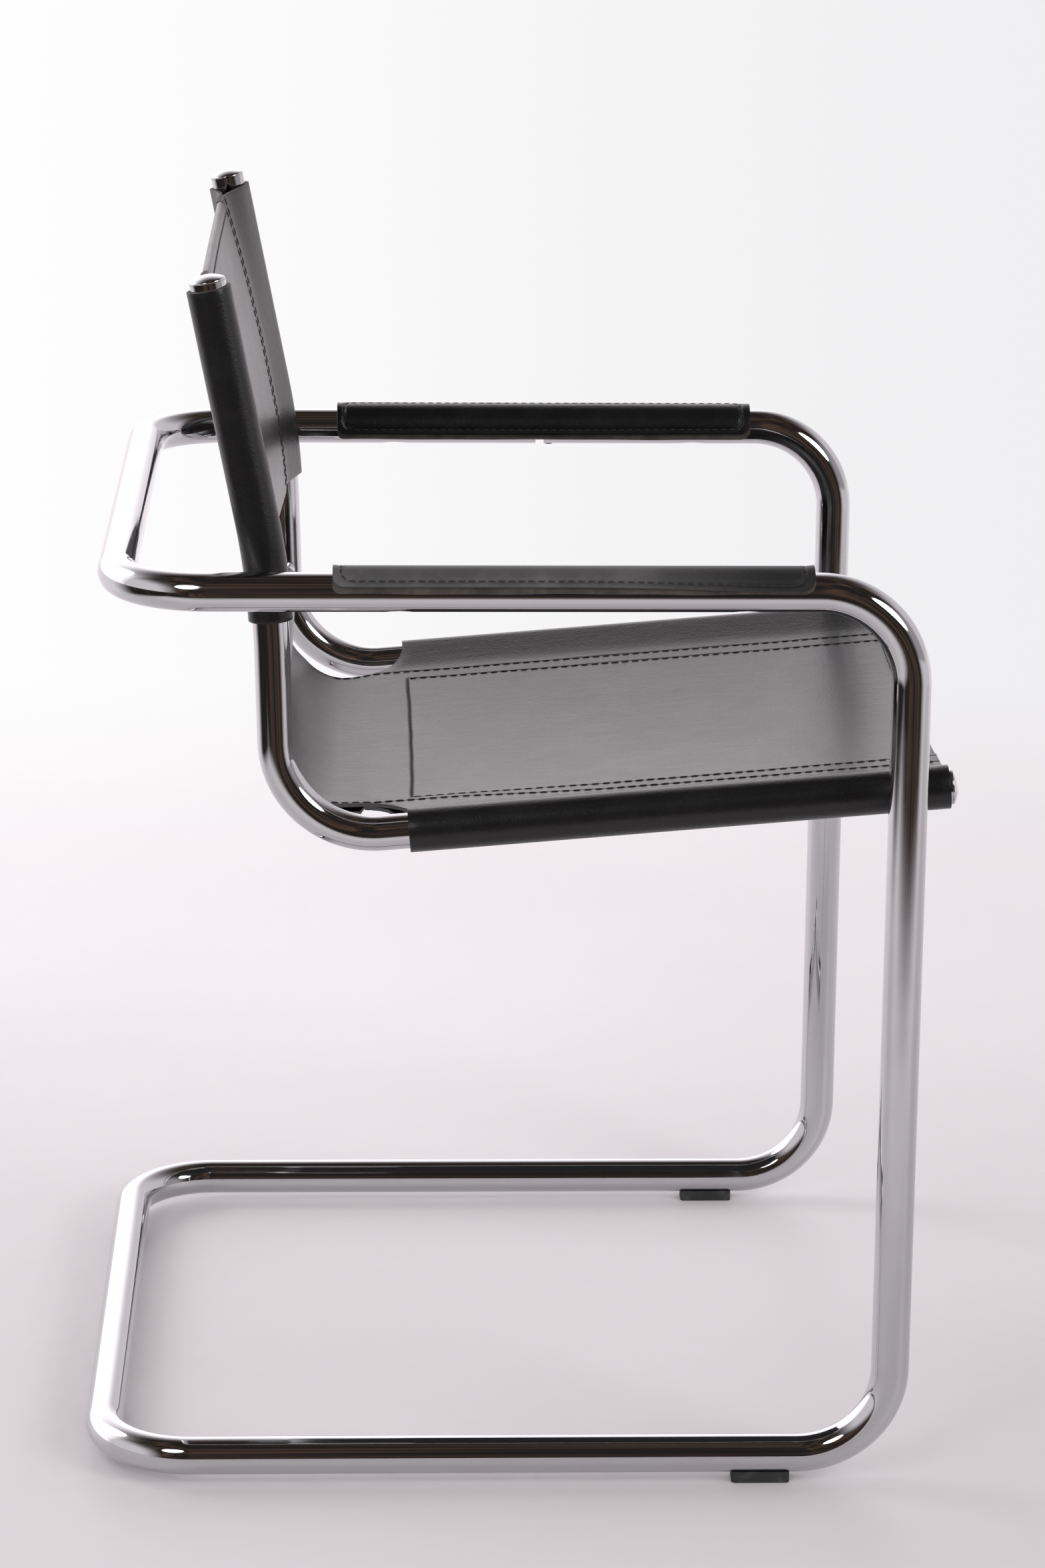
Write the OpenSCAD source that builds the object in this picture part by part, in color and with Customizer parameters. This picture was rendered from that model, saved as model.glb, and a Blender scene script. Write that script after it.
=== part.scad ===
/* [Outer frame] */
// Outside diameter of the outer tube
tube_od = 25.4; // [22:0.1:30]
// Wall of the outer tube
tube_wall = 2.5; // [1.5:0.1:3]
// Distance between the axes of the two sides
frame_width = 530; // [480:5:600]
// Radius of every bend of the outer tube, at its axis
frame_bend = 61; // [50:1:75]
// Distance from the axis of the uprights to the axis of the rear floor tube
base_length = 529; // [480:1:600]
// Distance from the axis of the uprights to the axis of the rear arm tube
arm_length = 512; // [460:1:560]
// Height of the arm tube's axis above the floor
arm_height = 613; // [580:1:660]
// Distance of the uprights' axis in front of the middle of the footprint
front_reach = 252.4; // [230:0.2:280]
// Open seam between the two tube ends, under the right armrest
joint_gap = 6; // [2:0.5:10]
// Distance of the seam behind the middle of the right armrest
joint_offset = 3; // [0:1:20]
// Length of the sleeve that joins the tube ends
joint_sleeve_length = 70; // [50:1:90]

/* [Seat and back frames] */
// Outside diameter of the seat and back tube
seat_tube_od = 23.5; // [21:0.1:26]
// Wall of the seat and back tube
seat_tube_wall = 2.2; // [1.5:0.1:3]
// Gap between the outer tube and the seat tube on each side, filled by the spacers
side_gap = 15.05; // [12:0.05:24]
// Radius of the bend under the back, at the tube's axis
seat_bend = 64; // [55:1:75]
// Radius of the slight bend at arm height
back_bend = 500; // [300:10:700]
// Slope of the seat, rising to the front
seat_rise = 4.8; // [2:0.1:8]
// Lean of the tube between the seat and the arms
lower_lean = 1.55; // [0:0.05:4]
// Lean of the back above the arms
back_lean = 11.2; // [8:0.1:15]
// Height of the corner where the seat line meets the lower back line
corner_height = 436; // [410:1:450]
// Distance of that corner in front of the rear arm tube's axis
back_set = 104; // [100:0.5:115]
// Height of the arm tube's axis above the slight bend
bend_drop = 2.06; // [0:0.02:6]
// Length of the back tube above the slight bend
back_length = 198; // [180:1:230]
// How far the seat tubes reach past the axis of the uprights
nose_reach = 32.45; // [28:0.05:45]
// Diameter of the bar between the two frames
bar_od = 12; // [10:0.5:16]
// Height of the bar above the corner where the seat line meets the lower back line
bar_rise = 79; // [74:1:90]

/* [Leather] */
// Thickness of the sling leather
sling_t = 2.5; // [2:0.1:3.5]
// Distance from a seat tube's axis to the point where its sleeve closes
sleeve_seam = 38; // [36:1:50]
// Distance from a seat tube's axis to the end of the doubled leather
sleeve_flap = 72; // [66:1:80]
// Height of the sling's face above the tubes' axes
sling_face = 4; // [3:0.1:5]
// Bare tube that shows at the top of each back sleeve
top_bare = 4.4; // [3:0.1:6]
// Bare tube that shows at the front of each seat sleeve
front_bare = 1.3; // [1:0.1:3]
// Bare tube between the corner and the rear end of each seat sleeve
sleeve_rear_gap = 83.7; // [80:0.1:100]
// Radius of the rounded cut-outs beside the seat's tongue
notch_r = 45; // [35:1:48]
// Distance from a seat tube's axis to the side of the tongue at the bar
tongue_side = 40; // [34:1:50]
// Depth of the folded hems
hem_depth = 13; // [8:1:18]
// Bare tube between the arm's front bend and the armrest
armrest_front_gap = 3.9; // [2:0.05:20]
// Distance from the arm bolt to the rear end of the armrest
armrest_rear_gap = 42.84; // [36:0.01:60]
// Thickness of the armrest's outer leather
armrest_t = 2.2; // [1.5:0.1:3]
// Thickness of the armrest's lining
lining_t = 2; // [1.2:0.1:2.5]
// Distance of each armrest screw from the nearer end of the armrest
armrest_screw_inset = 42.5; // [30:0.5:60]

/* [Fittings] */
// Diameter of the four bolts that hold the seat frames
bolt_d = 6; // [5:0.5:6.5]
// Height of the caps' domes
dome_h = 3.4; // [2:0.1:5]
// Length of each floor glide
glide_length = 39; // [30:1:50]
// Width of each floor glide
glide_width = 17; // [12:0.5:20]
// Height of the tubes above the floor
glide_lift = 5.7; // [4:0.1:8]
// Distance of the front glides in front of the middle of the footprint
front_glide_place = 166.5; // [150:0.5:170]

/* [Hidden] */
$fn = 96;

chrome = [0.80, 0.81, 0.83];
steel = [0.60, 0.61, 0.63];
hide = [0.06, 0.06, 0.065];
suede = [0.16, 0.13, 0.11];
rubber = [0.04, 0.04, 0.045];

// clearances and the overrun of the cuts
slip = 0.1;
wrap_gap = 0.25;
ease = 0.3;
over = 1;
// a run ends this far inside the bend after it, and the bend is this much fuller
lap = 0.5;
full = 0.02;
$grow = 0;

// outer frame
tube_r = tube_od / 2;
tube_ir = tube_r - tube_wall;
half_w = frame_width / 2;
base_z = tube_r + glide_lift;
arm_z = arm_height;
up_y = -front_reach;
base_y = up_y + base_length;
arm_y = up_y + arm_length;

// seat and back frames, in the plane of their own tubes: [y, z]
seat_r = seat_tube_od / 2;
seat_ir = seat_r - seat_tube_wall;
half_s = half_w - tube_r - side_gap - seat_r;
panel_width = 2 * (half_s - sleeve_flap);
low_dir = [sin(lower_lean), cos(lower_lean)];
back_dir = [sin(back_lean), cos(back_lean)];
seat_dir = [-cos(seat_rise), sin(seat_rise)];
corner = [arm_y - back_set, corner_height];
seat_length = (corner[0] - up_y + nose_reach) / cos(seat_rise);
back_foot_share = 0.8;
bend_pt = corner + low_dir * ((arm_z - bend_drop - corner_height) / low_dir[1]);
top_pt = bend_pt + back_dir * back_length;
nose_pt = corner + seat_dir * seat_length;
frame_path = [top_pt, bend_pt, corner, nose_pt];
frame_radii = [0, back_bend, seat_bend, 0];

// where the seat line and the back line pass the outer frame
upright_cross = [up_y, corner[1] + (corner[0] - up_y) * tan(seat_rise)];
back_turn = back_lean - lower_lean;
bend_sag = back_bend * (1 / cos(back_turn / 2) - 1);
arm_cross = [bend_pt[0] + (arm_z - bend_pt[1]) * tan((back_lean + lower_lean) / 2) + bend_sag, arm_z];

// the bar that the seat's tongue is looped round
bar_r = bar_od / 2;
bar_pt = corner + low_dir * (bar_rise / low_dir[1]);

// leather on the tubes
sleeve_ir = seat_r + wrap_gap;
sleeve_or = sleeve_ir + sling_t;
loop_ir = bar_r + wrap_gap;
loop_or = loop_ir + sling_t;
pair_h = sling_face - sling_t;
seat_front = nose_pt - seat_dir * front_bare;
seat_rear = corner + seat_dir * sleeve_rear_gap;
back_top = top_pt - back_dir * top_bare;

// the tongue behind the seat runs level, turns up and closes on the bar
tongue_bend = 47.5;
tongue_back = 3.5;
tongue_x = bar_pt[0] + tongue_back;
seat_normal = [sin(seat_rise), cos(seat_rise)];
pair_pt = corner + seat_normal * pair_h;
tongue_corner = [tongue_x, pair_pt[1] - (tongue_x - pair_pt[0]) * tan(seat_rise)];
tongue_turn = 90 + seat_rise;
apex_rise = 1.5;
apex = [tongue_x, tongue_corner[1] + tongue_bend * tan(tongue_turn / 2) + apex_rise];
tongue_start = seat_rear + seat_normal * pair_h;
under_lap = 12;
notch_side = 8;
notch_reach = 43.5;
loop_half = half_s - tongue_side;

// armrests
lining_ir = tube_r + slip;
lining_or = lining_ir + lining_t;
rest_ir = lining_or + slip;
rest_or = rest_ir + armrest_t;
armrest_front = up_y + frame_bend + armrest_front_gap;
armrest_length = arm_cross[0] - armrest_rear_gap - armrest_front;
armrest_y = armrest_front + armrest_length / 2;
armrest_screw_pitch = armrest_length - 2 * armrest_screw_inset;
joint_y = armrest_y + joint_offset;
// how far each wrap reaches from the top of the tube, outward and inward;
// the right armrest has rolled inward in use
left_outer_angle = 66;
left_inner_angle = 55;
right_outer_angle = 20;
right_inner_angle = 101;
lining_extra_angle = 18;
rest_corner = 6;
// the rounding meets the edges at a slight angle, as a hand-cut corner does
tip_full_share = 1.08;

// armrest studs and screws
stud_r = 3;
stud_bore = 2.1;
stud_head_r = 4.5;
stud_head_seat = 0.5;
stud_drop = 9;
rest_screw_r = 2;
rest_screw_head_r = 4;
rest_screw_head_h = 2;
dimple_r = 30;
dimple_depth = 1.5;
rest_screw_tip = 3;

// frame joint
joint_or = tube_ir - slip;
joint_ir = joint_or - tube_wall;
joint_screw_back = 6.8;
joint_screw_r = 2.1;
joint_head_r = 3.6;
joint_head_h = 1.5;
joint_screw_tip = 1.5;

// bolts, spacers, inserts and washers
bolt_r = bolt_d / 2;
bolt_head_rim = 2;
bolt_head_r = bolt_r + bolt_head_rim;
bolt_head_h = 3.4;
socket_r = 2;
socket_depth = 2;
washer_r = 6.4;
washer_t = 1.2;
insert_wall = 1.6;
insert_r = bolt_r + insert_wall;
insert_flange_rim = 1.2;
insert_flange_r = insert_r + insert_flange_rim;
insert_flange_t = 1;
insert_bulge_rim = 1;
insert_bulge_r = insert_r + insert_bulge_rim;
insert_bulge_length = 3;
insert_length = 12;
spacer_wall = 4;
spacer_r = bolt_r + spacer_wall;
bolt_tip = 2;
tunnel_x = -half_s + seat_r;
bolt_seat_x = tunnel_x + washer_t;
insert_face_x = -half_w + tube_r;
insert_bulge_x = -half_w + sqrt(pow(tube_ir, 2) - pow(insert_bulge_r, 2)) - slip;

// caps
plug_length = 14;
plug_ease = 0.4;
plug_wall = 1.8;
rib_t = 1.5;
rib_count = 3;
lip_t = 1.2;
dome_r = (pow(seat_r, 2) + pow(dome_h, 2)) / (2 * dome_h);

// glides
glide_side = 2.2;
glide_round = 3;
glide_screw_r = 2;
glide_head_r = 4;
glide_head_h = 2.4;
glide_screw_length = 12;
glide_recess = 1;
rear_glide_back = 35;
rear_glide_x = half_w - frame_bend - rear_glide_back;

// a profile swept along straight runs and bends in the Y-Z plane;
// its first axis is X and its second the side towards the sitter
function turn_at(a, b, c) = let (
    u = (b - a) / norm(b - a), v = (c - b) / norm(c - b)) u[0] * v[1] - u[1] * v[0];
function angle_at(a, b, c) = let (
    u = (b - a) / norm(b - a), v = (c - b) / norm(c - b)) acos(u * v);
function setback(a, b, c, r) = r * tan(angle_at(a, b, c) / 2);
function tilt(u) = atan2(-u[0], u[1]);

module run(a, b) {
    u = (b - a) / norm(b - a);
    translate([0, a[0], a[1]])
        rotate([tilt(u), 0, 0])
            linear_extrude(norm(b - a))
                children();
}

module bend(a, b, c, r, part = 1) {
    u = (b - a) / norm(b - a);
    // the side of the path that the profile's second axis points to
    n = [u[1], -u[0]];
    inward = turn_at(a, b, c) < 0;
    start = b - u * setback(a, b, c, r);
    centre = inward ? start + n * r : start - n * r;
    $grow = full;
    translate([0, centre[0], centre[1]])
        rotate([tilt(u), 0, 0])
            rotate([90, 0, 90])
                rotate([0, inward ? 180 : 0, 0])
                    rotate_extrude(angle = part * angle_at(a, b, c))
                        translate([r, 0])
                            mirror(inward ? [1, 1] : [1, -1])
                                children();
}

module sweep(path, radii) {
    last = len(path) - 1;
    for (i = [0 : last - 1]) {
        u = (path[i + 1] - path[i]) / norm(path[i + 1] - path[i]);
        a = i == 0 ? path[0]
            : path[i] + u * (setback(path[i - 1], path[i], path[i + 1], radii[i]) - lap);
        b = i + 1 == last ? path[last]
            : path[i + 1] - u * (setback(path[i], path[i + 1], path[i + 2], radii[i + 1]) - lap);
        run(a, b) children();
        if (i + 1 < last)
            bend(path[i], path[i + 1], path[i + 2], radii[i + 1]) children();
    }
}

module disc(r) {
    circle(r + $grow);
}

module ring(r_out, r_in) {
    difference() {
        circle(r_out + $grow);
        circle(r_in - $grow);
    }
}

module both_sides() {
    children();
    mirror([1, 0, 0]) children();
}

// a bar along X at a point of the Y-Z plane, from x0 to x1
module along_x(p, r, x0, x1) {
    translate([x0, p[0], p[1]])
        rotate([0, 90, 0])
            cylinder(r = r, h = x1 - x0);
}

// the half of the outer frame on the left, cut at the middle of both rear tubes
module half_frame() {
    foot = [base_y - frame_bend, base_z];
    foot_end = foot + [lap, 0];
    heel = [up_y, base_z];
    crown = [up_y, arm_z];
    arm_end = [arm_y - frame_bend, arm_z];
    arm_start = arm_end + [lap, 0];
    translate([-half_w, 0, 0])
        sweep([arm_start, crown, heel, foot_end], [0, frame_bend, frame_bend, 0])
            ring(tube_r, tube_ir);
    for (p = [foot, arm_end]) {
        translate([-half_w + frame_bend, p[0], p[1]])
            rotate([0, 0, 90])
                rotate_extrude(angle = 90)
                    translate([frame_bend, 0])
                        ring(tube_r + full, tube_ir - full);
        translate([-half_w + frame_bend - lap, p[0] + frame_bend, p[1]])
            rotate([90, 0, 90])
                linear_extrude(half_w - frame_bend + lap)
                    ring(tube_r, tube_ir);
    }
}

// the dent in the underside of the arm keeps the wall's thickness
module dent_shell(p) {
    translate(p)
        intersection() {
            translate([0, 0, dimple_depth - tube_r - dimple_r])
                sphere(r = dimple_r + tube_wall);
            rotate([90, 0, 0])
                cylinder(r = tube_ir + slip, h = 2 * tube_od, center = true);
        }
}

// a countersunk screw that points up, with its flat head at the origin
module up_screw(r, head_r, head_h, length, room = 0) {
    cylinder(r1 = head_r + room, r2 = r + room, h = head_h);
    cylinder(r = r + room, h = length);
}

module rest_screw_places() {
    for (s = [-1, 1])
        translate([-half_w, armrest_y + s * armrest_screw_pitch / 2, arm_z])
            children();
}

module glide_screw_places() {
    translate([-half_w, -front_glide_place, glide_recess]) children();
    translate([-rear_glide_x, base_y, glide_recess]) children();
}

module outer_frame() {
    color(chrome)
    difference() {
        union() {
            both_sides() half_frame();
            both_sides() rest_screw_places() dent_shell([0, 0, 0]);
        }
        // the open seam and its screw, in the right arm only
        translate([half_w - tube_od, joint_y - joint_gap / 2, arm_z - tube_od])
            cube([2 * tube_od, joint_gap, 2 * tube_od]);
        translate([half_w, joint_y - joint_screw_back, arm_z - tube_r])
            up_screw(joint_screw_r, joint_head_r, joint_head_h, tube_r, slip);
        both_sides() {
            // seats of the threaded inserts
            along_x(arm_cross, insert_r + slip, -half_w, -half_w + tube_od);
            along_x(upright_cross, insert_r + slip, -half_w, -half_w + tube_od);
            // armrest studs above, dents and screws below
            rest_screw_places() {
                cylinder(r = stud_r + slip, h = tube_od);
                translate([0, 0, dimple_depth - tube_r - dimple_r])
                    sphere(r = dimple_r);
                translate([0, 0, dimple_depth - tube_r])
                    up_screw(rest_screw_r, rest_screw_head_r, rest_screw_head_h, tube_r, slip);
            }
            glide_screw_places()
                cylinder(r = glide_screw_r + slip, h = base_z);
        }
    }
}

module frame_joint_sleeve() {
    color(steel)
    difference() {
        translate([half_w, joint_y - joint_sleeve_length / 2, arm_z])
            rotate([-90, 0, 0])
                linear_extrude(joint_sleeve_length)
                    ring(joint_or, joint_ir);
        translate([half_w, joint_y - joint_screw_back, arm_z - tube_od])
            cylinder(r = joint_screw_r + slip, h = tube_od);
    }
}

module frame_joint_screw() {
    color(steel)
    translate([half_w, joint_y - joint_screw_back, arm_z - tube_r])
        up_screw(joint_screw_r, joint_head_r, joint_head_h, tube_r - joint_ir + joint_screw_tip);
}

module side_frame_left() {
    color(chrome)
    difference() {
        translate([-half_s, 0, 0])
            sweep(frame_path, frame_radii)
                ring(seat_r, seat_ir);
        along_x(arm_cross, bolt_r + ease, -half_s - seat_tube_od, -half_s + seat_tube_od);
        along_x(upright_cross, bolt_r + ease, -half_s - seat_tube_od, -half_s + seat_tube_od);
    }
}

module side_frame_right() {
    mirror([1, 0, 0]) side_frame_left();
}

// the bar's ends are coped to the tubes
module rear_cross_bar() {
    color(chrome)
    difference() {
        along_x(bar_pt, bar_r, -half_s, half_s);
        both_sides()
            translate([-half_s, 0, 0])
                run(bar_pt + low_dir * seat_tube_od, bar_pt - low_dir * seat_tube_od)
                    circle(seat_r + slip / 2);
    }
}

// where a line from q touches the circle round c
function touch(c, r, q, side) = let (
    v = q - c, a = atan2(v[1], v[0]) + side * acos(r / norm(v))) c + r * [cos(a), sin(a)];

// one sleeve with its doubled flap, tube axis at the origin, the panel to +X
module sleeve_profile() {
    top = sling_face + $grow;
    low = sling_face - 2 * sling_t - $grow;
    r_out = sleeve_or + $grow;
    r_in = sleeve_ir - $grow;
    seam_mid = [sleeve_seam - $grow, pair_h];
    difference() {
        union() {
            circle(r_out);
            polygon([[0, 0], touch([0, 0], r_out, [sleeve_seam, low], -1), [sleeve_seam, low],
                [sleeve_flap, low], [sleeve_flap, top], [sleeve_seam, top],
                touch([0, 0], r_out, [sleeve_seam, top], 1)]);
        }
        circle(r_in);
        polygon([[0, 0], touch([0, 0], r_in, seam_mid, -1), seam_mid,
            touch([0, 0], r_in, seam_mid, 1)]);
    }
}

module sling_profile() {
    both_sides() translate([-half_s, 0]) sleeve_profile();
    translate([-half_s + sleeve_flap - over, pair_h - $grow])
        square([panel_width + 2 * over, sling_t + 2 * $grow]);
}

// the folded second layer of a hem
module hem_profile() {
    translate([-half_s + sleeve_flap - over, sling_face - 2 * sling_t + full])
        square([panel_width + 2 * over, 3 / 2 * sling_t]);
}

// the doubled layer behind the seat; its middle runs along the path
module tongue_profile() {
    half = loop_half - 2 * full + $grow;
    half_t = sling_t - 2 * full + $grow;
    translate([-half, -half_t])
        square([2 * half, 2 * half_t]);
}

// the tongue opens round the bar like a long eye
module tongue_eye() {
    split = apex + [0, sling_t];
    front = apex - [sling_t, 0];
    rear = apex + [sling_t, 0];
    translate([-loop_half, 0, 0])
        rotate([90, 0, 90])
            linear_extrude(2 * loop_half)
                difference() {
                    union() {
                        translate(bar_pt) circle(loop_or);
                        polygon([bar_pt, touch(bar_pt, loop_or, front, -1), front,
                            rear, touch(bar_pt, loop_or, rear, 1)]);
                    }
                    translate(bar_pt) circle(loop_ir);
                    polygon([bar_pt, touch(bar_pt, loop_ir, split, -1), split,
                        touch(bar_pt, loop_ir, split, 1)]);
                }
}

// the rounded cut-outs that leave room for the bends of the side tubes
module notch() {
    translate([0, 0, corner[1] - 2 * seat_tube_od])
        linear_extrude(4 * seat_tube_od)
            intersection() {
                translate([-half_s + notch_side, seat_rear[0] + notch_reach])
                    circle(notch_r);
                translate([-half_s + seat_tube_od, seat_rear[0] + lap])
                    square([sleeve_flap, 2 * notch_r]);
            }
}

module seat_leather() {
    color(hide)
    difference() {
        union() {
            run(seat_rear, seat_front) sling_profile();
            run(seat_front - seat_dir * hem_depth, seat_front - seat_dir * full) hem_profile();
            difference() {
                sweep([apex + [0, sling_t / 2], tongue_corner, tongue_start + seat_dir * under_lap],
                    [0, tongue_bend, 0])
                    tongue_profile();
                both_sides() notch();
            }
            tongue_eye();
        }
        along_x(upright_cross, bolt_r + ease, -half_w, -half_s);
        along_x(upright_cross, bolt_r + ease, half_s, half_w);
    }
}

module back_leather() {
    bend_start = bend_pt + back_dir * setback(top_pt, bend_pt, corner, back_bend);
    color(hide)
    difference() {
        union() {
            run(back_top, bend_start - back_dir * lap) sling_profile();
            bend(top_pt, bend_pt, corner, back_bend, back_foot_share) sling_profile();
            run(back_top - back_dir * full, back_top - back_dir * hem_depth) hem_profile();
        }
        along_x(arm_cross, bolt_r + ease, -half_w, -half_s);
        along_x(arm_cross, bolt_r + ease, half_s, half_w);
    }
}

// a strip wrapped over the arm tube, from the outer angle to the inner angle
module arm_wrap(r_in, r_out, outer_angle, inner_angle) {
    translate([-half_w, armrest_front, arm_z])
        rotate([-90, 0, 0])
            rotate([0, 0, -90 - outer_angle])
                rotate_extrude(angle = outer_angle + inner_angle)
                    translate([r_in, 0])
                        square([r_out - r_in, armrest_length]);
}

// takes the sharp tip off one corner of a strip; the cut looks along a radius
module tip_cut(edge_angle, r_out) {
    back_angle = rest_corner / r_out * 180 / PI;
    for (e = [0, 1])
        translate([-half_w, armrest_y, arm_z])
            mirror([0, e, 0])
                rotate([0, edge_angle > 0 ? back_angle - edge_angle : -edge_angle - back_angle, 0])
                    mirror([edge_angle > 0 ? 0 : 1, 0, 0])
                        translate([0, armrest_length / 2 - rest_corner, 0])
                            linear_extrude(2 * tube_od)
                                difference() {
                                    translate([-2 * rest_corner, 0])
                                        square(2 * rest_corner);
                                    circle(rest_corner * tip_full_share);
                                }
}

module rest_leather(outer_angle, inner_angle) {
    color(hide)
    difference() {
        arm_wrap(rest_ir, rest_or, outer_angle, inner_angle);
        tip_cut(outer_angle, rest_or);
        tip_cut(-inner_angle, rest_or);
    }
}

module rest_lining(outer_angle, inner_angle) {
    color(suede)
    difference() {
        arm_wrap(lining_ir, lining_or, outer_angle + lining_extra_angle,
            inner_angle + lining_extra_angle);
        rest_screw_places() {
            cylinder(r = stud_r + slip, h = tube_od);
            translate([0, 0, lining_ir + stud_head_seat])
                cylinder(r = stud_head_r + slip, h = tube_od);
        }
    }
}

module armrest_leather_left() {
    rest_leather(left_outer_angle, left_inner_angle);
}

module armrest_leather_right() {
    mirror([1, 0, 0]) rest_leather(right_outer_angle, right_inner_angle);
}

module armrest_lining_left() {
    rest_lining(left_outer_angle, left_inner_angle);
}

module armrest_lining_right() {
    mirror([1, 0, 0]) rest_lining(right_outer_angle, right_inner_angle);
}

module armrest_studs() {
    color(steel)
    both_sides() rest_screw_places()
        difference() {
            union() {
                intersection() {
                    translate([0, 0, lining_ir + stud_head_seat + slip])
                        cylinder(r = stud_head_r, h = lining_t);
                    rotate([90, 0, 0])
                        cylinder(r = lining_or, h = tube_od, center = true);
                }
                translate([0, 0, lining_ir + stud_head_seat - stud_drop])
                    cylinder(r = stud_r, h = stud_drop + 2 * slip);
            }
            translate([0, 0, lining_ir - stud_drop])
                cylinder(r = stud_bore, h = stud_drop);
        }
}

module armrest_screws() {
    color(steel)
    both_sides() rest_screw_places()
        translate([0, 0, dimple_depth - tube_r])
            up_screw(rest_screw_r, rest_screw_head_r, rest_screw_head_h,
                tube_r - dimple_depth + lining_ir - stud_drop + rest_screw_tip);
}

// a ribbed plug with a domed head, pointing up
module cap() {
    color(chrome) {
        cylinder(r = seat_r, h = lip_t);
        intersection() {
            translate([0, 0, lip_t + dome_h - dome_r]) sphere(r = dome_r);
            translate([0, 0, lip_t / 2]) cylinder(r = seat_r, h = lip_t + dome_h);
        }
        difference() {
            union() {
                translate([0, 0, -plug_length])
                    cylinder(r = seat_ir - plug_ease, h = plug_length + lip_t / 2);
                for (i = [1 : rib_count])
                    translate([0, 0, -plug_length * i / (rib_count + 1)])
                        cylinder(r = seat_ir - slip, h = rib_t);
            }
            translate([0, 0, -plug_length - over])
                cylinder(r = seat_ir - plug_ease - plug_wall, h = plug_length + over);
        }
    }
}

module cap_at(p, u) {
    translate([-half_s, p[0], p[1]])
        rotate([tilt(u), 0, 0])
            cap();
}

module top_cap_left() {
    cap_at(top_pt, back_dir);
}

module top_cap_right() {
    mirror([1, 0, 0]) top_cap_left();
}

module seat_cap_left() {
    cap_at(nose_pt, seat_dir);
}

module seat_cap_right() {
    mirror([1, 0, 0]) seat_cap_left();
}

// a saddle under the tube, with its screw hole; it lies along Y
module glide() {
    flat = [glide_width - 2 * glide_round, glide_length - 2 * glide_round];
    color(rubber)
    difference() {
        linear_extrude(glide_lift + glide_side) {
            square([glide_width, flat[1]], center = true);
            square([flat[0], glide_length], center = true);
            for (i = [-1, 1], j = [-1, 1])
                translate([i * flat[0] / 2, j * flat[1] / 2]) circle(glide_round);
        }
        translate([0, 0, base_z])
            rotate([90, 0, 0])
                cylinder(r = tube_r + slip, h = 2 * glide_length, center = true);
        translate([0, 0, glide_recess])
            up_screw(glide_screw_r, glide_head_r, glide_head_h, base_z, slip);
        translate([0, 0, -over])
            cylinder(r = glide_head_r + slip, h = glide_recess + over);
    }
}

module front_glide_left() {
    translate([-half_w, -front_glide_place, 0]) glide();
}

module front_glide_right() {
    mirror([1, 0, 0]) front_glide_left();
}

module rear_glide_left() {
    translate([-rear_glide_x, base_y, 0]) rotate([0, 0, 90]) glide();
}

module rear_glide_right() {
    mirror([1, 0, 0]) rear_glide_left();
}

module glide_screws() {
    color(steel)
    both_sides() glide_screw_places()
        up_screw(glide_screw_r, glide_head_r, glide_head_h, glide_screw_length);
}

module bolt_at(p) {
    difference() {
        union() {
            along_x(p, bolt_head_r, bolt_seat_x, bolt_seat_x + bolt_head_h);
            along_x(p, bolt_r - slip, insert_face_x - insert_length + bolt_tip, bolt_seat_x);
        }
        along_x(p, socket_r, bolt_seat_x + bolt_head_h - socket_depth,
            bolt_seat_x + bolt_head_h + over);
    }
}

// the solid forms of the two tubes beside a bolt
module seat_tube_beside(p, r) {
    translate([-half_s, 0, 0])
        if (p == arm_cross)
            bend(top_pt, bend_pt, corner, back_bend) circle(r + slip / 2);
        else
            run(corner, nose_pt) circle(r + slip / 2);
}

module outer_tube_beside(p) {
    translate([-half_w, p[0], p[1]])
        if (p == arm_cross)
            rotate([90, 0, 0])
                cylinder(r = tube_r + slip / 2, h = 2 * tube_od, center = true);
        else
            cylinder(r = tube_r + slip / 2, h = 2 * tube_od, center = true);
}

// a washer hollowed to lie on the round of the tube
module washer_at(p) {
    difference() {
        along_x(p, washer_r, -half_s + seat_r / 2, bolt_seat_x - slip / 2);
        along_x(p, bolt_r + ease, -half_s, bolt_seat_x + over);
        seat_tube_beside(p, seat_r);
    }
}

// a distance piece, hollowed at both ends for the two tubes
module spacer_at(p) {
    difference() {
        along_x(p, spacer_r, -half_w, -half_s);
        along_x(p, bolt_r + ease, -half_w - over, -half_s + over);
        along_x(p, insert_flange_r + slip, -half_w - over, insert_face_x + insert_flange_t + slip);
        outer_tube_beside(p);
        seat_tube_beside(p, sleeve_or);
    }
}

// a blind threaded insert: collar outside the tube wall, bulge inside
module insert_at(p) {
    difference() {
        union() {
            along_x(p, insert_r, insert_face_x - insert_length, insert_face_x);
            along_x(p, insert_bulge_r, insert_bulge_x - insert_bulge_length, insert_bulge_x);
            difference() {
                along_x(p, insert_flange_r, insert_face_x - insert_flange_t,
                    insert_face_x + insert_flange_t);
                difference() {
                    outer_tube_beside(p);
                    along_x(p, insert_r, -half_w, insert_face_x + insert_flange_t);
                }
            }
        }
        along_x(p, bolt_r, -half_w - tube_od, insert_face_x + insert_flange_t + over);
    }
}

module arm_bolts() {
    color(steel) both_sides() bolt_at(arm_cross);
}

module arm_spacers() {
    color(steel) both_sides() spacer_at(arm_cross);
}

module arm_inserts() {
    color(steel) both_sides() insert_at(arm_cross);
}

module arm_washers() {
    color(steel) both_sides() washer_at(arm_cross);
}

module upright_bolts() {
    color(steel) both_sides() bolt_at(upright_cross);
}

module upright_spacers() {
    color(steel) both_sides() spacer_at(upright_cross);
}

module upright_inserts() {
    color(steel) both_sides() insert_at(upright_cross);
}

module upright_washers() {
    color(steel) both_sides() washer_at(upright_cross);
}

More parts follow.
